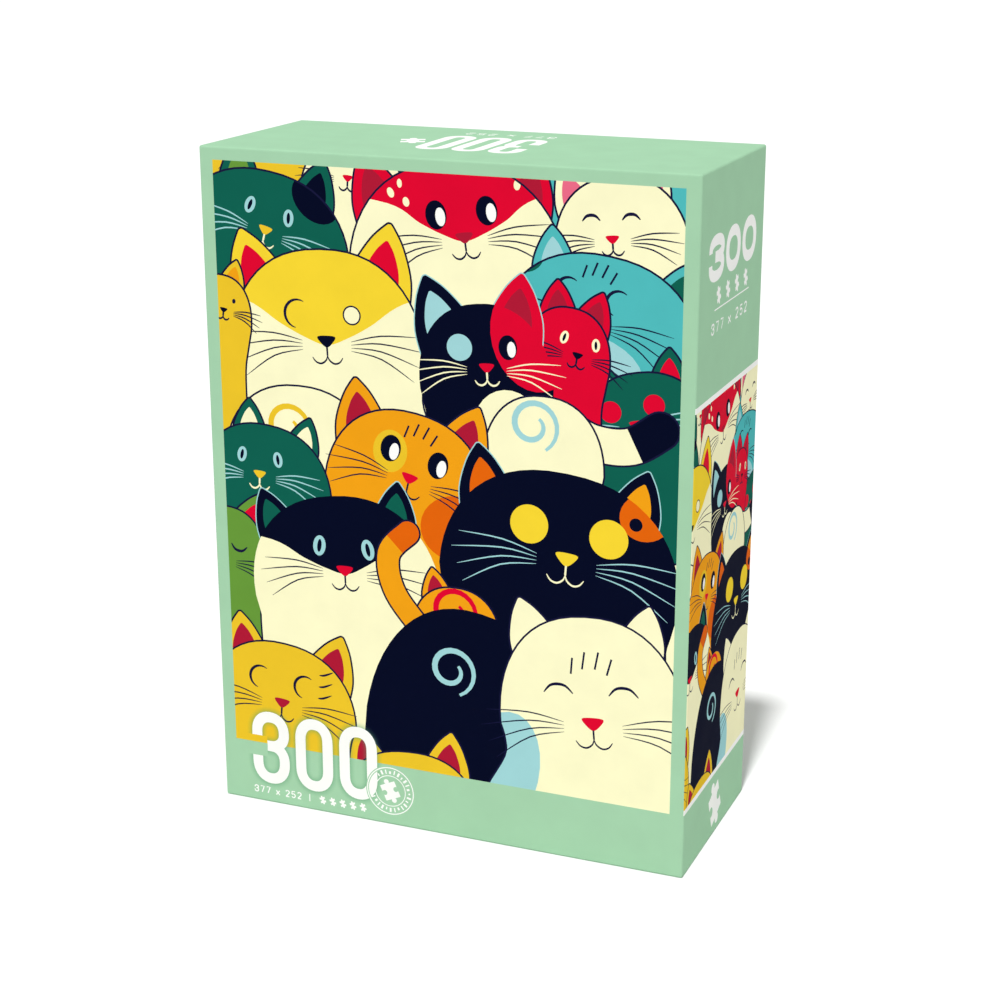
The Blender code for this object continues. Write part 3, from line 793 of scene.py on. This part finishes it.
# gloss-coated leaflet paper: the sharpest shine of the three
leafletPrint = printedPaper({"name": "glossCoatedLeaflet", "roughness": 0.28, "shine": 0.5,
                             "fibreMm": 0.5, "mottleMm": 14.0, "grain": 0.05})
# the box board, open inside the lid and the tray: a dull speckled grey
boardGrey = greyBoard("recycledGreyBoard", (1.0, 1.0, 3.0))
# the sides of the pieces: the same board cut through, its layers drawn out as streaks
pieceCore = greyBoard("dieCutBoardEdge", (1.0, 5.0, 3.0))
# backs of the pieces and the strips at the corners: dull papers with a soft tooth
pieceBack = plainPaper("pieceBackPaper", "#C9C5BB", 0.8)
stayPaper = plainPaper("gummedStayPaper", "#DAD6CC", 0.85)
# unprinted side of the leaflet, a little smoother and whiter
sheetBack = plainPaper("coatedSheetBack", "#F1F0EB", 0.6)
# the bag: a hard thin gloss that shows the pieces through it
filmClear = clearFilm({"name": "clearPolypropyleneFilm", "tint": "#F4F8F8", "roughness": 0.08,
                       "rippleMm": 6.0})
print("materials made")


def addPiece(name, mesh, materials, body, node):
    thing = bpy.data.objects.new(name, mesh)
    bpy.context.scene.collection.objects.link(thing)
    for material in materials:
        mesh.materials.append(material)
    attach(thing, body)
    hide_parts(node)
    return thing


# the printed wraps, in millimetres; each is one sheet folded over its board
boxPrint = {
    "window": (4.0, 18.5, 136.0, 186.4),   # picture on the front, from its lower left corner
    "numeral": {"x": 9.4, "y": 6.0, "height": 22.5, "stroke": 3.25, "width": 11.9, "gap": 2.1},
    "halo": ((3.2, 0.05), (2.5, 0.06), (1.9, 0.08), (1.3, 0.1), (0.8, 0.12), (0.4, 0.14)),
    "stamp": (53.3, 10.4, 7.3),            # x, z and radius of the round seal
    "band": (20.0, 129.6),                 # the picture on a side wall lies between these heights
    "bandScale": 0.655,
    "bandShift": -22.0,
    "bandLine": 1.5,
    "sideNumeral": {"x": 7.8, "y": 161.0, "height": 12.2, "stroke": 2.95, "width": 13.6, "gap": 1.6},
    "sideSize": {"x": 11.6, "y": 147.3, "height": 3.1, "stroke": 0.5, "width": 2.7, "gap": 1.45},
    "topAt": (55.6, 44.0),                 # the marks on the upper and lower walls stand here
    "topNumeral": {"x": 0.0, "y": 0.0, "height": 28.0, "stroke": 3.0, "width": 9.0, "gap": 1.4},
    "topSize": {"x": 1.0, "y": -7.0, "height": 3.6, "stroke": 0.46, "width": 2.3, "gap": 1.0},
    "backWindow": (44.0, 168.0),           # lower and upper edge of the picture on the tray
    "backLine": 1.4,
    "backNumeral": {"y": 16.0, "height": 18.0, "stroke": 2.6, "width": 9.5, "gap": 1.8},
}
# inset is how far in the wrap lies once it has turned over the rim
wrapFold = {"radius": 0.6, "steps": 4, "turnIn": 15.0, "inset": 2.35, "thickness": 0.2, "sharpest": 0.02,
            "weld": 0.004}


def wrapBox(node):
    # a wrap's low and high corner and its size, in millimetres
    low, high = ([round(float(value) / mm, 2) for value in corner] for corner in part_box(node))
    return low, high, [round(b - a, 2) for a, b in zip(low, high)]


lidWide, lidDeep, lidTall = wrapBox("lid_wrap")[2]
trayWide = wrapBox("tray_wrap")[2][0]


def drawStamp(drawing, x, y, radius):
    # round seal: two rings, a circle of dashes between them and a jigsaw sign; a green line
    # either side of the outer ring parts it from the numeral it overlaps
    rim = oval(x, y, radius - 0.15, radius - 0.15, steps=60)
    addLayer(drawing, "mint", penStroke(rim, 0.9, closed=True))
    addLayer(drawing, "white", penStroke(rim, 0.32, closed=True))
    inner = oval(x, y, radius * 0.64, radius * 0.64, steps=48)
    addLayer(drawing, "white", penStroke(inner, 0.26, closed=True))
    dashes = []
    for k in range(28):
        if k % 14:
            angle = math.radians(180 + 360 * k / 28)
            ends = (radius * 0.72, radius * (0.9 if k % 3 else 0.84))
            dash = [(x + reach * math.cos(angle), y + reach * math.sin(angle)) for reach in ends]
            dashes += penStroke(dash, 0.62 if k % 2 else 0.4)
    dashes += [oval(x + side * radius * 0.81, y, 0.3, 0.3, steps=12) for side in (-1, 1)]
    addLayer(drawing, "white", dashes)
    addLayer(drawing, "white", [jigsawSign(x, y, radius, 24)])


def drawSizeLine(drawing, x, y, height):
    # picture size in numerals, a divider and a row of small jigsaw signs
    stroke = height * 0.16
    size = numeralShapes("377 x 252", x, y, height, stroke, height * 0.64, height * 0.2, steps=8)
    addLayer(drawing, "white", size)
    right = x + height * 7.8
    addLayer(drawing, "white", [rectangle(right, y, right + stroke * 0.8, y + height)])
    row = [jigsawSign(right + height * (1.9 + 1.4 * k), y + height / 2, height * 1.15, 20) for k in range(5)]
    addLayer(drawing, "white", row)


def drawFront():
    drawing = newDrawing("mint")
    window, numeral = boxPrint["window"], boxPrint["numeral"]
    placeDrawing(drawing, pictureDrawing, rectangle(*window), 1.0, *window[:2])
    for grow, share in boxPrint["halo"]:
        # soft shade round the numerals, built up in steps
        spread = {key: value + grow for key, value in numeral.items()}
        spread.update(x=numeral["x"] - grow / 2, y=numeral["y"] - grow / 2, gap=numeral["gap"] - grow)
        addLayer(drawing, "shade", numeralShapes("300", **spread, steps=12), alpha=share)
    addLayer(drawing, "white", numeralShapes("300", **numeral, steps=18))
    drawSizeLine(drawing, numeral["x"], 2.5, 2.3)
    drawStamp(drawing, *boxPrint["stamp"])
    return drawing


def wallStarts(width, height):
    # where each wall starts along the unrolled strip: right, top, left, bottom
    return (0.0, height, height + width, 2 * height + width)


def drawSideWall(drawing, start, flip):
    # one side wall on the strip; flip draws it running down instead of up
    def onWall(shape):
        if flip:
            return [(start + lidTall - z, lidDeep - y) for y, z in shape]
        return [(start + z, y) for y, z in shape]

    wall = newDrawing("mint")
    low, high = boxPrint["band"]
    # the print runs on over the rim to the inside
    over = wrapFold["turnIn"] + 3.0
    near, far = (-over, lidDeep) if flip else (0.0, lidDeep + over)
    band = rectangle(near, low, far, high)
    placeDrawing(wall, pictureDrawing, band, boxPrint["bandScale"], boxPrint["bandShift"], low)
    line = boxPrint["bandLine"]
    addLayer(wall, "white", [rectangle(near, low - line, far, low), rectangle(near, high, far, high + line)])
    marks = numeralShapes("300", **boxPrint["sideNumeral"], steps=14)
    marks += [jigsawSign(17.5 + 8.4 * k, 157.0, 5.0, 20) for k in range(4)]
    marks += [rectangle(14.0, 153.4, 46.0, 153.75)]
    marks += numeralShapes("377 x 252", **boxPrint["sideSize"], steps=8)
    marks += [jigsawSign(30.0, 9.0, 14.5, 22)]
    addLayer(wall, "white", marks)
    moveLayers(drawing, wall["layers"], onWall)


def drawLidStrip():
    drawing = newDrawing("mint")
    right, top, left, bottom = wallStarts(lidWide, lidTall)
    drawSideWall(drawing, right, False)
    drawSideWall(drawing, left, True)
    # the upper and lower walls read from the back
    marks = numeralShapes("300", **boxPrint["topNumeral"], steps=18)
    marks += [jigsawSign(35.2, 14.0, 10.0, 22)]
    marks += numeralShapes("377 x 252", **boxPrint["topSize"], steps=8)
    along, down = boxPrint["topAt"]
    for wall in (top, bottom):
        addLayer(drawing, "white", [[(wall + along + x, down - y) for x, y in shape] for shape in marks])
    return drawing


def drawBack():
    drawing = newDrawing("mint")
    low, high = boxPrint["backWindow"]
    line = boxPrint["backLine"]
    scale = (high - low) / picture["height"]
    wide = picture["width"] * scale
    left = (trayWide - wide) / 2
    addLayer(drawing, "white", [rectangle(left - line, low - line, left + wide + line, high + line)])
    placeDrawing(drawing, pictureDrawing, rectangle(left, low, left + wide, high), scale, left, low)
    addLayer(drawing, "white", numeralShapes("300", left, **boxPrint["backNumeral"], steps=16))
    drawSizeLine(drawing, left, 9.0, 2.3)
    addLayer(drawing, "white", [jigsawSign(left + wide - 8, 24.0, 15.0, 22)])
    return drawing


def foldProfile(depth):
    # distance along the sheet, inset from the wall's outside and depth from the closed face
    radius, inset, steps = wrapFold["radius"], wrapFold["inset"], wrapFold["steps"]
    profile = []
    for fold, start in enumerate((0.0, depth, depth + inset)):
        for k in range(steps + 1):
            angle = math.pi / 2 * k / steps
            ahead, aside = radius * (1 - math.sin(angle)), radius * (1 - math.cos(angle))
            row = ((ahead, aside), (aside, depth - ahead), (inset - ahead, depth - aside))[fold]
            profile.append((start - radius + 2 * radius * k / steps, *row))
    end, lip, thin = depth + inset + wrapFold["turnIn"], depth - wrapFold["turnIn"], wrapFold["thickness"]
    return profile + [(end, inset, lip), (end + thin, inset - thin, lip)]


def foldWrap(name, node, body, panel, strip, back=False):
    # panel and strip drawings cut, folded round the board's edges and welded into one sheet;
    # back folds it forward from the back panel instead
    low, high, (width, depth, height) = wrapBox(node)
    closedY, inward = (high[1], -1) if back else (low[1], 1)
    middle = (low[2] + high[2]) / 2
    radius = wrapFold["radius"]
    border = rectangle(radius, radius, width - radius, height - radius)
    flat, faces, colors = cutPrint(border, panel)[:3]
    points = [(inward * (x - width / 2), closedY, z - height / 2) for x, z in flat]
    distances, insets, depths = zip(*foldProfile(depth))
    starts = wallStarts(width, height)
    total = 2 * (width + height)
    lines = [((-0.5, s), (total + 0.5, s)) for s in distances[1:-1]]
    cuts = [start + radius * k / 2 for start in starts[1:] for k in range(-2, 3)]
    cuts += [radius / 2, radius, total - radius / 2, total - radius]
    lines += [((t, -radius - 0.5), (t, distances[-1] + 0.5)) for t in cuts]
    sheet = rectangle(0, distances[0], total, distances[-1])
    rolled, stripFaces, stripColors = cutPrint(sheet, strip, lines)[:3]
    walls = ((1, 0, height), (0, 1, width), (-1, 0, height), (0, -1, width))
    offset = len(points)
    for t, s in rolled:
        inset = float(np.interp(s, distances, insets))
        y = closedY + inward * float(np.interp(s, distances, depths))
        corner = max(radius - inset, wrapFold["sharpest"])
        t = min(max(t, 0.0), total)
        index = max(k for k in range(4) if t >= starts[k] - 1e-9)
        nx, nz, length = walls[index]
        along = t - starts[index]
        # half sizes across and along this wall
        across = (width if nx else height) / 2 - inset
        reach = (height if nx else width) / 2 - inset - corner
        if along < radius:
            angle = math.radians(-45 * (1 - along / radius))
            shift = -reach
        elif along > length - radius:
            angle = math.radians(45 * (1 - (length - along) / radius))
            shift = reach
        else:
            angle = 0.0
            shift = (along - length / 2) / (length / 2 - radius) * reach
        u = across - corner + corner * math.cos(angle)
        v = shift + corner * math.sin(angle)
        points.append((nx * u - nz * v, y, nz * u + nx * v))
    faces += [tuple(offset + k for k in face) for face in stripFaces]
    placed = [(x * mm, y * mm, (z + middle) * mm) for x, y, z in points]
    mesh = printMesh(name, placed, faces, colors + stripColors)
    work = bmesh.new()
    work.from_mesh(mesh)
    bmesh.ops.remove_doubles(work, verts=work.verts, dist=wrapFold["weld"] * mm)
    bmesh.ops.dissolve_degenerate(work, edges=work.edges, dist=wrapFold["weld"] / 2 * mm)
    loose = [vert for vert in work.verts if not vert.link_faces]
    bmesh.ops.delete(work, geom=loose, context="VERTS")
    bmesh.ops.recalc_face_normals(work, faces=work.faces)
    work.to_mesh(mesh)
    work.free()
    addPiece(name, mesh, [printPaper], body, node)
    print(name, "folded:", len(mesh.polygons), "faces")


foldWrap("lidPrintedWrap", "lid_wrap", "lid", drawFront(), drawLidStrip())
foldWrap("trayPrintedWrap", "tray_wrap", "tray", drawBack(), newDrawing("mint"), back=True)
for side in ("lid", "tray"):
    bpy.data.objects[f"{side}_board"].material_slots[0].material = boardGrey
    for number in range(1, 5):
        bpy.data.objects[f"{side}_corner_stay_{number}"].material_slots[0].material = stayPaper


# one die cut of the whole picture, in millimetres; lip and press shape the pressed-down print edge
die = {"columns": 15, "rows": 20, "width": 16.8, "height": 18.85, "thick": 1.8, "gap": 0.1, "knobReach": 3.9,
       "knobRadius": 2.25, "neck": 1.45, "shoulder": 2.9, "lip": 0.3, "press": 0.14}

# how the pieces lie in their bag, in metres: reach and cells cover a piece turned any way,
# shown is how many lie on top as separate parts, faceDown the share turned over below them
heap = {"back": 0.0273, "half": 0.061, "bottom": 0.008, "height": 0.142, "cell": 0.001, "gap": 0.00025,
        "margin": 0.0007, "tries": 110, "slope": 0.085, "reach": 0.0134, "cells": 29, "shown": 36,
        "faceDown": 0.4}


def cutKinds():
    # each piece's lower, right, upper and left side; a knob on one is a socket in the next
    draw = np.random.default_rng(5)
    columns, rows = die["columns"], die["rows"]
    upright = draw.choice((1, -1), (rows, columns + 1))
    level = draw.choice((1, -1), (rows + 1, columns))
    upright[:, (0, -1)] = 0
    level[(0, -1), :] = 0
    kinds = []
    for row in range(rows):
        for column in range(columns):
            kinds.append((-int(level[row, column]), int(upright[row, column + 1]),
                          int(level[row + 1, column]), -int(upright[row, column])))
    return kinds


def settleHeap():
    # pieces laid one by one where they lie lowest; gives them and the relief of the heap
    draw = np.random.default_rng(11)
    total = die["columns"] * die["rows"]
    order = draw.permutation(total)
    half, high, cell = heap["half"], heap["height"], heap["cell"]
    reach, cells, margin = heap["reach"], heap["cells"], heap["margin"]
    gridX, gridZ = np.meshgrid(np.arange(-half, half + cell / 2, cell), np.arange(0.0, high + cell / 2, cell))
    relief = np.zeros(gridX.shape)
    wide, tall = die["width"] * mm / 2, die["height"] * mm / 2
    knob, tip = die["knobRadius"] * mm, (die["knobReach"] - die["knobRadius"]) * mm
    pieces = []
    for number in range(total):
        best = None
        for attempt in range(heap["tries"]):
            x = draw.uniform(reach - half, half - reach)
            z = draw.uniform(reach, high - reach)
            turn = draw.uniform(0.0, 2 * math.pi)
            slopeX, slopeZ = draw.uniform(-heap["slope"], heap["slope"], 2)
            row, column = int((z - reach) / cell), int((x + half - reach) / cell)
            window = (slice(row, row + cells), slice(column, column + cells))
            dx, dz = gridX[window] - x, gridZ[window] - z
            u = math.cos(turn) * dx + math.sin(turn) * dz
            v = math.cos(turn) * dz - math.sin(turn) * dx
            under = (abs(u) < wide + margin) & (abs(v) < tall + margin)
            for side in (-1, 1):
                for spotU, spotV in ((side * (wide + tip), 0), (0, side * (tall + tip))):
                    under |= (u - spotU) ** 2 + (v - spotV) ** 2 < (knob + margin) ** 2
            tilt = slopeX * dx + slopeZ * dz
            level = (relief[window] - tilt)[under].max()
            if best is None or level < best["level"]:
                best = {"x": x, "z": z, "turn": turn, "slopes": (slopeX, slopeZ), "level": level}
                spot = (window, under, tilt)
        window, under, tilt = spot
        relief[window][under] = (best["level"] + tilt + die["thick"] * mm + heap["gap"])[under]
        best["number"] = int(order[number])
        pieces.append(best)
    return pieces, relief


def insetLoop(loop, reach):
    inner = []
    for k in range(len(loop)):
        (ax, ay), (bx, by), (cx, cy) = loop[k - 1], loop[k], loop[(k + 1) % len(loop)]
        first, second = math.dist((ax, ay), (bx, by)), math.dist((bx, by), (cx, cy))
        ux, uy = (bx - ax) / first, (by - ay) / first
        vx, vy = (cx - bx) / second, (cy - by) / second
        size = max(1 + ux * vx + uy * vy, 0.6)
        inner.append((bx - (uy + vy) / size * reach, by + (ux + vx) / size * reach))
    return inner


def pieceBlank(points, faces, colors, centre):
    # print on top, cut board round the side, plain paper below: points, faces, colours, materials
    flat, top = compact(points, faces)
    edges = {(face[k - 1], face[k]) for face in top for k in range(3)}
    ahead = {a: b for a, b in edges if (b, a) not in edges}
    half = die["thick"] / 2
    verts = []
    for number, (x, y) in enumerate(flat):
        sunk = die["press"] if number in ahead else 0.0
        verts.append((x - centre[0], y - centre[1], half - sunk))
    rim = [min(ahead)]
    while ahead[rim[-1]] != rim[0]:
        rim.append(ahead[rim[-1]])
    base, count = len(verts), len(rim)
    verts += [(verts[k][0], verts[k][1], -half) for k in rim]
    sides = [(rim[k], base + k, base + (k + 1) % count, rim[(k + 1) % count]) for k in range(count)]
    back = [tuple(range(base + count - 1, base - 1, -1))]
    plain = [toLinear(hexToRgb(inks["paper"]))] * (count + 1)
    return verts, top + sides + back, colors + plain, [0] * len(top) + [1] * count + [2]


def cutPuzzle():
    # the picture enlarged to its full size and cut in pieces, each with its print on its own board
    wide, tall = die["columns"] * die["width"], die["rows"] * die["height"]
    border = rectangle(-1, -1, wide + 1, tall + 1)
    drawing = newDrawing("cream")
    placeDrawing(drawing, pictureDrawing, border, wide / picture["width"], 0.0, 0.0)
    cells, centres = [], []
    for number, kinds in enumerate(cutKinds()):
        row, column = divmod(number, die["columns"])
        centre = ((column + 0.5) * die["width"], (row + 0.5) * die["height"])
        loop = pieceLoop(die["width"] - die["gap"], die["height"] - die["gap"], kinds, die, steps=8)
        centres.append(centre)
        cells.append([shiftShape(shape, 1.0, *centre) for shape in (loop, insetLoop(loop, die["lip"]))])
    points, triangles, colors, inCell = cutPrint(border, drawing, cells=cells)
    prints = [([], []) for cell in cells]
    for triangle, color, cell in zip(triangles, colors, inCell):
        prints[cell][0].append(triangle)
        prints[cell][1].append(color)
    return [pieceBlank(points, *cut, centre) for cut, centre in zip(prints, centres)]


def piecePlace(piece, faceDown):
    slopeX, slopeZ = piece["slopes"]
    normal = Vector((-slopeX, -1.0, -slopeZ)).normalized()
    right = Vector((math.cos(piece["turn"]), 0.0, math.sin(piece["turn"])))
    right = (right - normal * right.dot(normal)).normalized()
    up = normal.cross(right)
    if faceDown:
        normal, right = -normal, -right
    placed = Matrix((right, up, normal)).transposed().to_4x4()
    rise = piece["level"] + (die["thick"] * mm + heap["gap"]) / 2
    placed.translation = (piece["x"], heap["back"] - rise, heap["bottom"] + piece["z"])
    return placed @ Matrix.Scale(mm, 4)


def layPieces(name, blanks, laid, node, faceDown):
    # one object of every piece laid, with its print, board edge and back
    points, faces, colors, kinds = [], [], [], []
    for piece, turned in zip(laid, faceDown):
        verts, shapes, inkOf, kindOf = blanks[piece["number"]]
        placed = np.array(piecePlace(piece, turned))
        base = len(points)
        points += (np.array(verts) @ placed[:3, :3].T + placed[:3, 3]).tolist()
        faces += [tuple(base + k for k in shape) for shape in shapes]
        colors += inkOf
        kinds += kindOf
    mesh = printMesh(name, points, faces, colors)
    thing = addPiece(name, mesh, [piecePrint, pieceCore, pieceBack], "bag", node)
    mesh.polygons.foreach_set("material_index", kinds)
    return thing


laid, relief = settleHeap()
print("heap settled")
blanks = cutPuzzle()
print("puzzle cut")
below, above = laid[:-heap["shown"]], laid[-heap["shown"]:]
turned = np.random.default_rng(3).random(len(below)) < heap["faceDown"]
loose = layPieces("puzzlePiecesBelow", blanks, below, "loose_pieces", turned)
for number, piece in enumerate(above, 1):
    layPieces(f"puzzlePiece{number:02d}", blanks, [piece], f"puzzle_piece_{number:02d}", [False])
print("pieces laid, those below:", len(loose.data.polygons), "faces")

# the picture on one leaflet sheet, folded in three to stand before the bag, in millimetres
leaflet = {"panel": 85.0, "height": 170.0, "front": -27.1, "foot": 5.6, "bend": 0.3, "bow": 0.35,
           "bowSpan": 90.0, "paper": 0.16, "margin": 4.0, "rowGap": 10}


def leafletLine():
    # the folded sheet from above: three panels and the two half-round bends between them
    half, bend, step = leaflet["panel"] / 2, leaflet["bend"], leaflet["panel"] / 10
    line = [(-half + step * k, 0.0) for k in range(10)]
    for side, rise, start, count in ((1, 1, -90, 10), (-1, 3, 270, 11)):
        line += arc(side * (half - bend), rise * bend, bend, start, 90, 8)
        line += [(side * (half - step * k), (rise + 1) * bend) for k in range(1, count)]
    return line


def foldLeaflet():
    line = leafletLine()
    along = [0.0]
    for a, b in zip(line, line[1:]):
        along.append(along[-1] + math.dist(a, b))
    total, tall, margin = along[-1], leaflet["height"], leaflet["margin"]
    scale = (tall - 2 * margin) / picture["width"]
    long = picture["height"] * scale
    left = (total - long) / 2
    drawing = newDrawing("white")
    window = rectangle(left, margin, left + long, tall - margin)
    placeDrawing(drawing, pictureDrawing, window, scale, left + long, margin, 90)
    lines = [((t, -1), (t, tall + 1)) for t in along[1:-1]]
    rows = range(leaflet["rowGap"], int(tall), leaflet["rowGap"])
    lines += [((-1, z), (total + 1, z)) for z in rows]
    flat, faces, colors = cutPrint(rectangle(0, 0, total, tall), drawing, lines)[:3]
    points = []
    for t, z in flat:
        x, y = (float(np.interp(t, along, values)) for values in zip(*line))
        bow = leaflet["bow"] * math.sin(math.pi * z / tall) * math.cos(math.pi * x / leaflet["bowSpan"])
        points.append((x * mm, (leaflet["front"] + y - bow) * mm, (leaflet["foot"] + z) * mm))
    mesh = printMesh("foldedPictureLeaflet", points, faces, colors, smooth=True)
    thing = addPiece("foldedPictureLeaflet", mesh, [leafletPrint, sheetBack], "sheet",
                     "picture_sheet")
    paper = thing.modifiers.new("paper", "SOLIDIFY")
    paper.thickness = leaflet["paper"] * mm
    paper.offset = 0.0
    paper.material_offset = 1
    paper.material_offset_rim = 1
    print("leaflet folded:", len(mesh.polygons), "faces")


foldLeaflet()

# the bag: flat back film, front film drawn over the heap, in metres; bridge is how far it
# spans between pieces, in cells of the heap
bag = {"half": 0.0636, "foot": 0.0059, "head": 0.1615, "back": 0.0279, "flat": 0.00025, "rib": 0.00022,
       "footSeal": 0.0019, "headSeal": 0.009, "headRows": 19, "slack": 0.0009, "film": 0.00006,
       "columns": 97, "rowPitch": 0.0014, "bridge": 4, "easing": 14, "vent": 0.003, "ventAt": (0.0, 0.1436)}
crease = {"count": 46, "x": (-0.055, 0.055), "z": (0.012, 0.148), "middle": 0.08, "stray": 0.5,
          "length": (0.008, 0.03), "width": (0.0009, 0.0018), "height": (0.0003, 0.0009), "bend": 4.0}


def bagRows():
    sealLine = bag["head"] - bag["headSeal"]
    rows = [bag["foot"], bag["foot"] + mm, bag["foot"] + bag["footSeal"]]
    count = int((sealLine - rows[-1]) / bag["rowPitch"])
    rows += np.linspace(rows[-1], sealLine, count)[1:].tolist()
    rows += np.linspace(sealLine, bag["head"], bag["headRows"])[1:].tolist()
    return np.array(rows)


def creaseFolds(columns, rows):
    # creases run out from the corners and seals, each a soft ridge that dies away
    draw = np.random.default_rng(21)
    x, z = np.meshgrid(columns, rows)
    folds = np.zeros(x.shape)
    for number in range(crease["count"]):
        cx, cz = draw.uniform(*crease["x"]), draw.uniform(*crease["z"])
        toward = math.atan2(cz - crease["middle"], cx) + draw.normal(0, crease["stray"])
        length, width, height = (draw.uniform(*crease[key]) for key in ("length", "width", "height"))
        along = (x - cx) * math.cos(toward) + (z - cz) * math.sin(toward)
        across = (z - cz) * math.cos(toward) - (x - cx) * math.sin(toward)
        across += crease["bend"] * along * along * draw.uniform(-1, 1)
        folds = np.maximum(folds, height * np.exp(-(across / width) ** 2 - (along / length) ** 2))
    return folds


def bagStand(rows, columns):
    # how far the front film stands off the back one: over the pieces, bridging between them
    bridge = bag["bridge"]
    tall, wide = relief.shape
    padded = np.pad(relief, bridge, mode="edge")
    spread = relief.copy()
    for i in range(2 * bridge + 1):
        for j in range(2 * bridge + 1):
            if math.hypot(i - bridge, j - bridge) <= bridge + 0.5:
                spread = np.maximum(spread, padded[i:i + tall, j:j + wide])
    low = np.clip(np.rint((rows - heap["bottom"]) / heap["cell"]).astype(int), 0, tall - 1)
    left = np.clip(np.rint((columns + heap["half"]) / heap["cell"]).astype(int), 0, wide - 1)
    drape = spread[np.ix_(low, left)] + bag["slack"] + bag["back"] - heap["back"]
    stand = drape.copy()
    for turn in range(bag["easing"]):
        padded = np.pad(stand, 1, mode="edge")
        mean = (padded[:-2, 1:-1] + padded[2:, 1:-1] + padded[1:-1, :-2] + padded[1:-1, 2:]) / 4
        stand = np.maximum(drape, mean)
    stand += creaseFolds(columns, rows)
    footLine, headLine = bag["foot"] + bag["footSeal"], bag["head"] - bag["headSeal"]
    stand[(rows <= footLine + 1e-6) | (rows >= headLine - 1e-6)] = bag["flat"]
    ribs = (rows > headLine + 1e-4) & (np.arange(len(rows)) % 2 == 0)
    stand[ribs] = bag["flat"] + bag["rib"]
    stand[:, (0, -1)] = bag["flat"]
    return stand


def drapeBag():
    rows = bagRows()
    last = bag["columns"] - 1
    columns = bag["half"] * np.sin(np.pi * (np.arange(last + 1) / last - 0.5))
    stand = bagStand(rows, columns)
    points = [(x, bag["back"] - stand[i, j], z) for i, z in enumerate(rows) for j, x in enumerate(columns)]
    faces = []
    for i in range(len(rows) - 1):
        for j in range(last):
            corner = i * (last + 1) + j
            faces.append((corner, corner + 1, corner + last + 2, corner + last + 1))
    mesh = bpy.data.meshes.new("pieceBagFilm")
    mesh.from_pydata(points, [], faces)
    work = bmesh.new()
    work.from_mesh(mesh)
    rim = [edge for edge in work.edges if edge.is_boundary]
    grown = bmesh.ops.extrude_edge_only(work, edges=rim)
    for item in grown["geom"]:
        if isinstance(item, bmesh.types.BMVert):
            item.co.y = bag["back"]
    back = [item for item in grown["geom"] if isinstance(item, bmesh.types.BMEdge) and item.is_boundary]
    bmesh.ops.edgeloop_fill(work, edges=back)
    # a round punched vent near the upper seal
    ventX, ventZ = bag["ventAt"]

    def fromVent(vert):
        return Vector((vert.co.x - ventX, 0.0, vert.co.z - ventZ))

    front = [vert for vert in work.verts if vert.co.y < bag["back"] - mm]
    inside = [vert for vert in front if fromVent(vert).length < bag["vent"]]
    bmesh.ops.delete(work, geom=inside, context="VERTS")
    for vert in {vert for edge in work.edges if edge.is_boundary for vert in edge.verts}:
        spot = fromVent(vert).normalized() * bag["vent"]
        vert.co.x, vert.co.z = ventX + spot.x, ventZ + spot.z
    bmesh.ops.recalc_face_normals(work, faces=work.faces)
    work.to_mesh(mesh)
    work.free()
    mesh.shade_smooth()
    mesh.set_sharp_from_angle(angle=math.radians(60))
    thing = addPiece("pieceBagFilm", mesh, [filmClear], "bag", "piece_bag")
    film = thing.modifiers.new("film", "SOLIDIFY")
    film.thickness = bag["film"]
    film.offset = -1.0
    print("bag draped:", len(mesh.polygons), "faces")


drapeBag()

stage = {"floor": "#FBFBFB", "floorHalf": 6.0, "world": 0.45, "sun": 2.42, "sunSpread": 4.0,
         "sunFrom": (0.036, -0.348, 0.937)}
view = {"azimuth": 22.148, "elevation": 17.469, "distance": 0.5776, "target": (0.0047, 0.0, 0.0908),
        "lens": 73.92, "sensor": 36.0, "nearest": 0.01}


def makeStage():
    mesh = bpy.data.meshes.new("studioFloor")
    work = bmesh.new()
    bmesh.ops.create_grid(work, x_segments=1, y_segments=1, size=stage["floorHalf"])
    work.to_mesh(mesh)
    work.free()
    floor = bpy.data.objects.new("studioFloor", mesh)
    bpy.context.scene.collection.objects.link(floor)
    # white studio paper without shine, which only takes the soft shadow
    look = {"Roughness": 0.9, "Base Color": hexColor(stage["floor"])}
    mesh.materials.append(newMaterial("paleStudioFloor", look))


def makeCamera():
    azimuth, elevation = math.radians(view["azimuth"]), math.radians(view["elevation"])
    level = math.cos(elevation)
    direction = Vector((math.sin(azimuth) * level, -math.cos(azimuth) * level, math.sin(elevation)))
    data = bpy.data.cameras.new("camera")
    data.lens = view["lens"]
    data.sensor_width = view["sensor"]
    data.clip_start = view["nearest"]
    camera = bpy.data.objects.new("camera", data)
    bpy.context.scene.collection.objects.link(camera)
    camera.location = Vector(view["target"]) + direction * view["distance"]
    camera.rotation_euler = (-direction).to_track_quat("-Z", "Y").to_euler()
    bpy.context.scene.camera = camera


def makeLight():
    # a large soft light in front of the box and high over it, and an even white surround
    data = bpy.data.lights.new("softSun", "SUN")
    data.energy = stage["sun"]
    data.angle = math.radians(stage["sunSpread"])
    lamp = bpy.data.objects.new("softSun", data)
    bpy.context.scene.collection.objects.link(lamp)
    lamp.rotation_euler = Vector(stage["sunFrom"]).to_track_quat("Z", "Y").to_euler()
    world = bpy.data.worlds.new("studio")
    world.use_nodes = True
    surround = world.node_tree.nodes["Background"]
    surround.inputs["Color"].default_value = grey(1.0)
    surround.inputs["Strength"].default_value = stage["world"]
    bpy.context.scene.world = world


makeStage()
makeCamera()
makeLight()
bpy.context.scene.view_settings.view_transform = "Standard"
print("stage set")
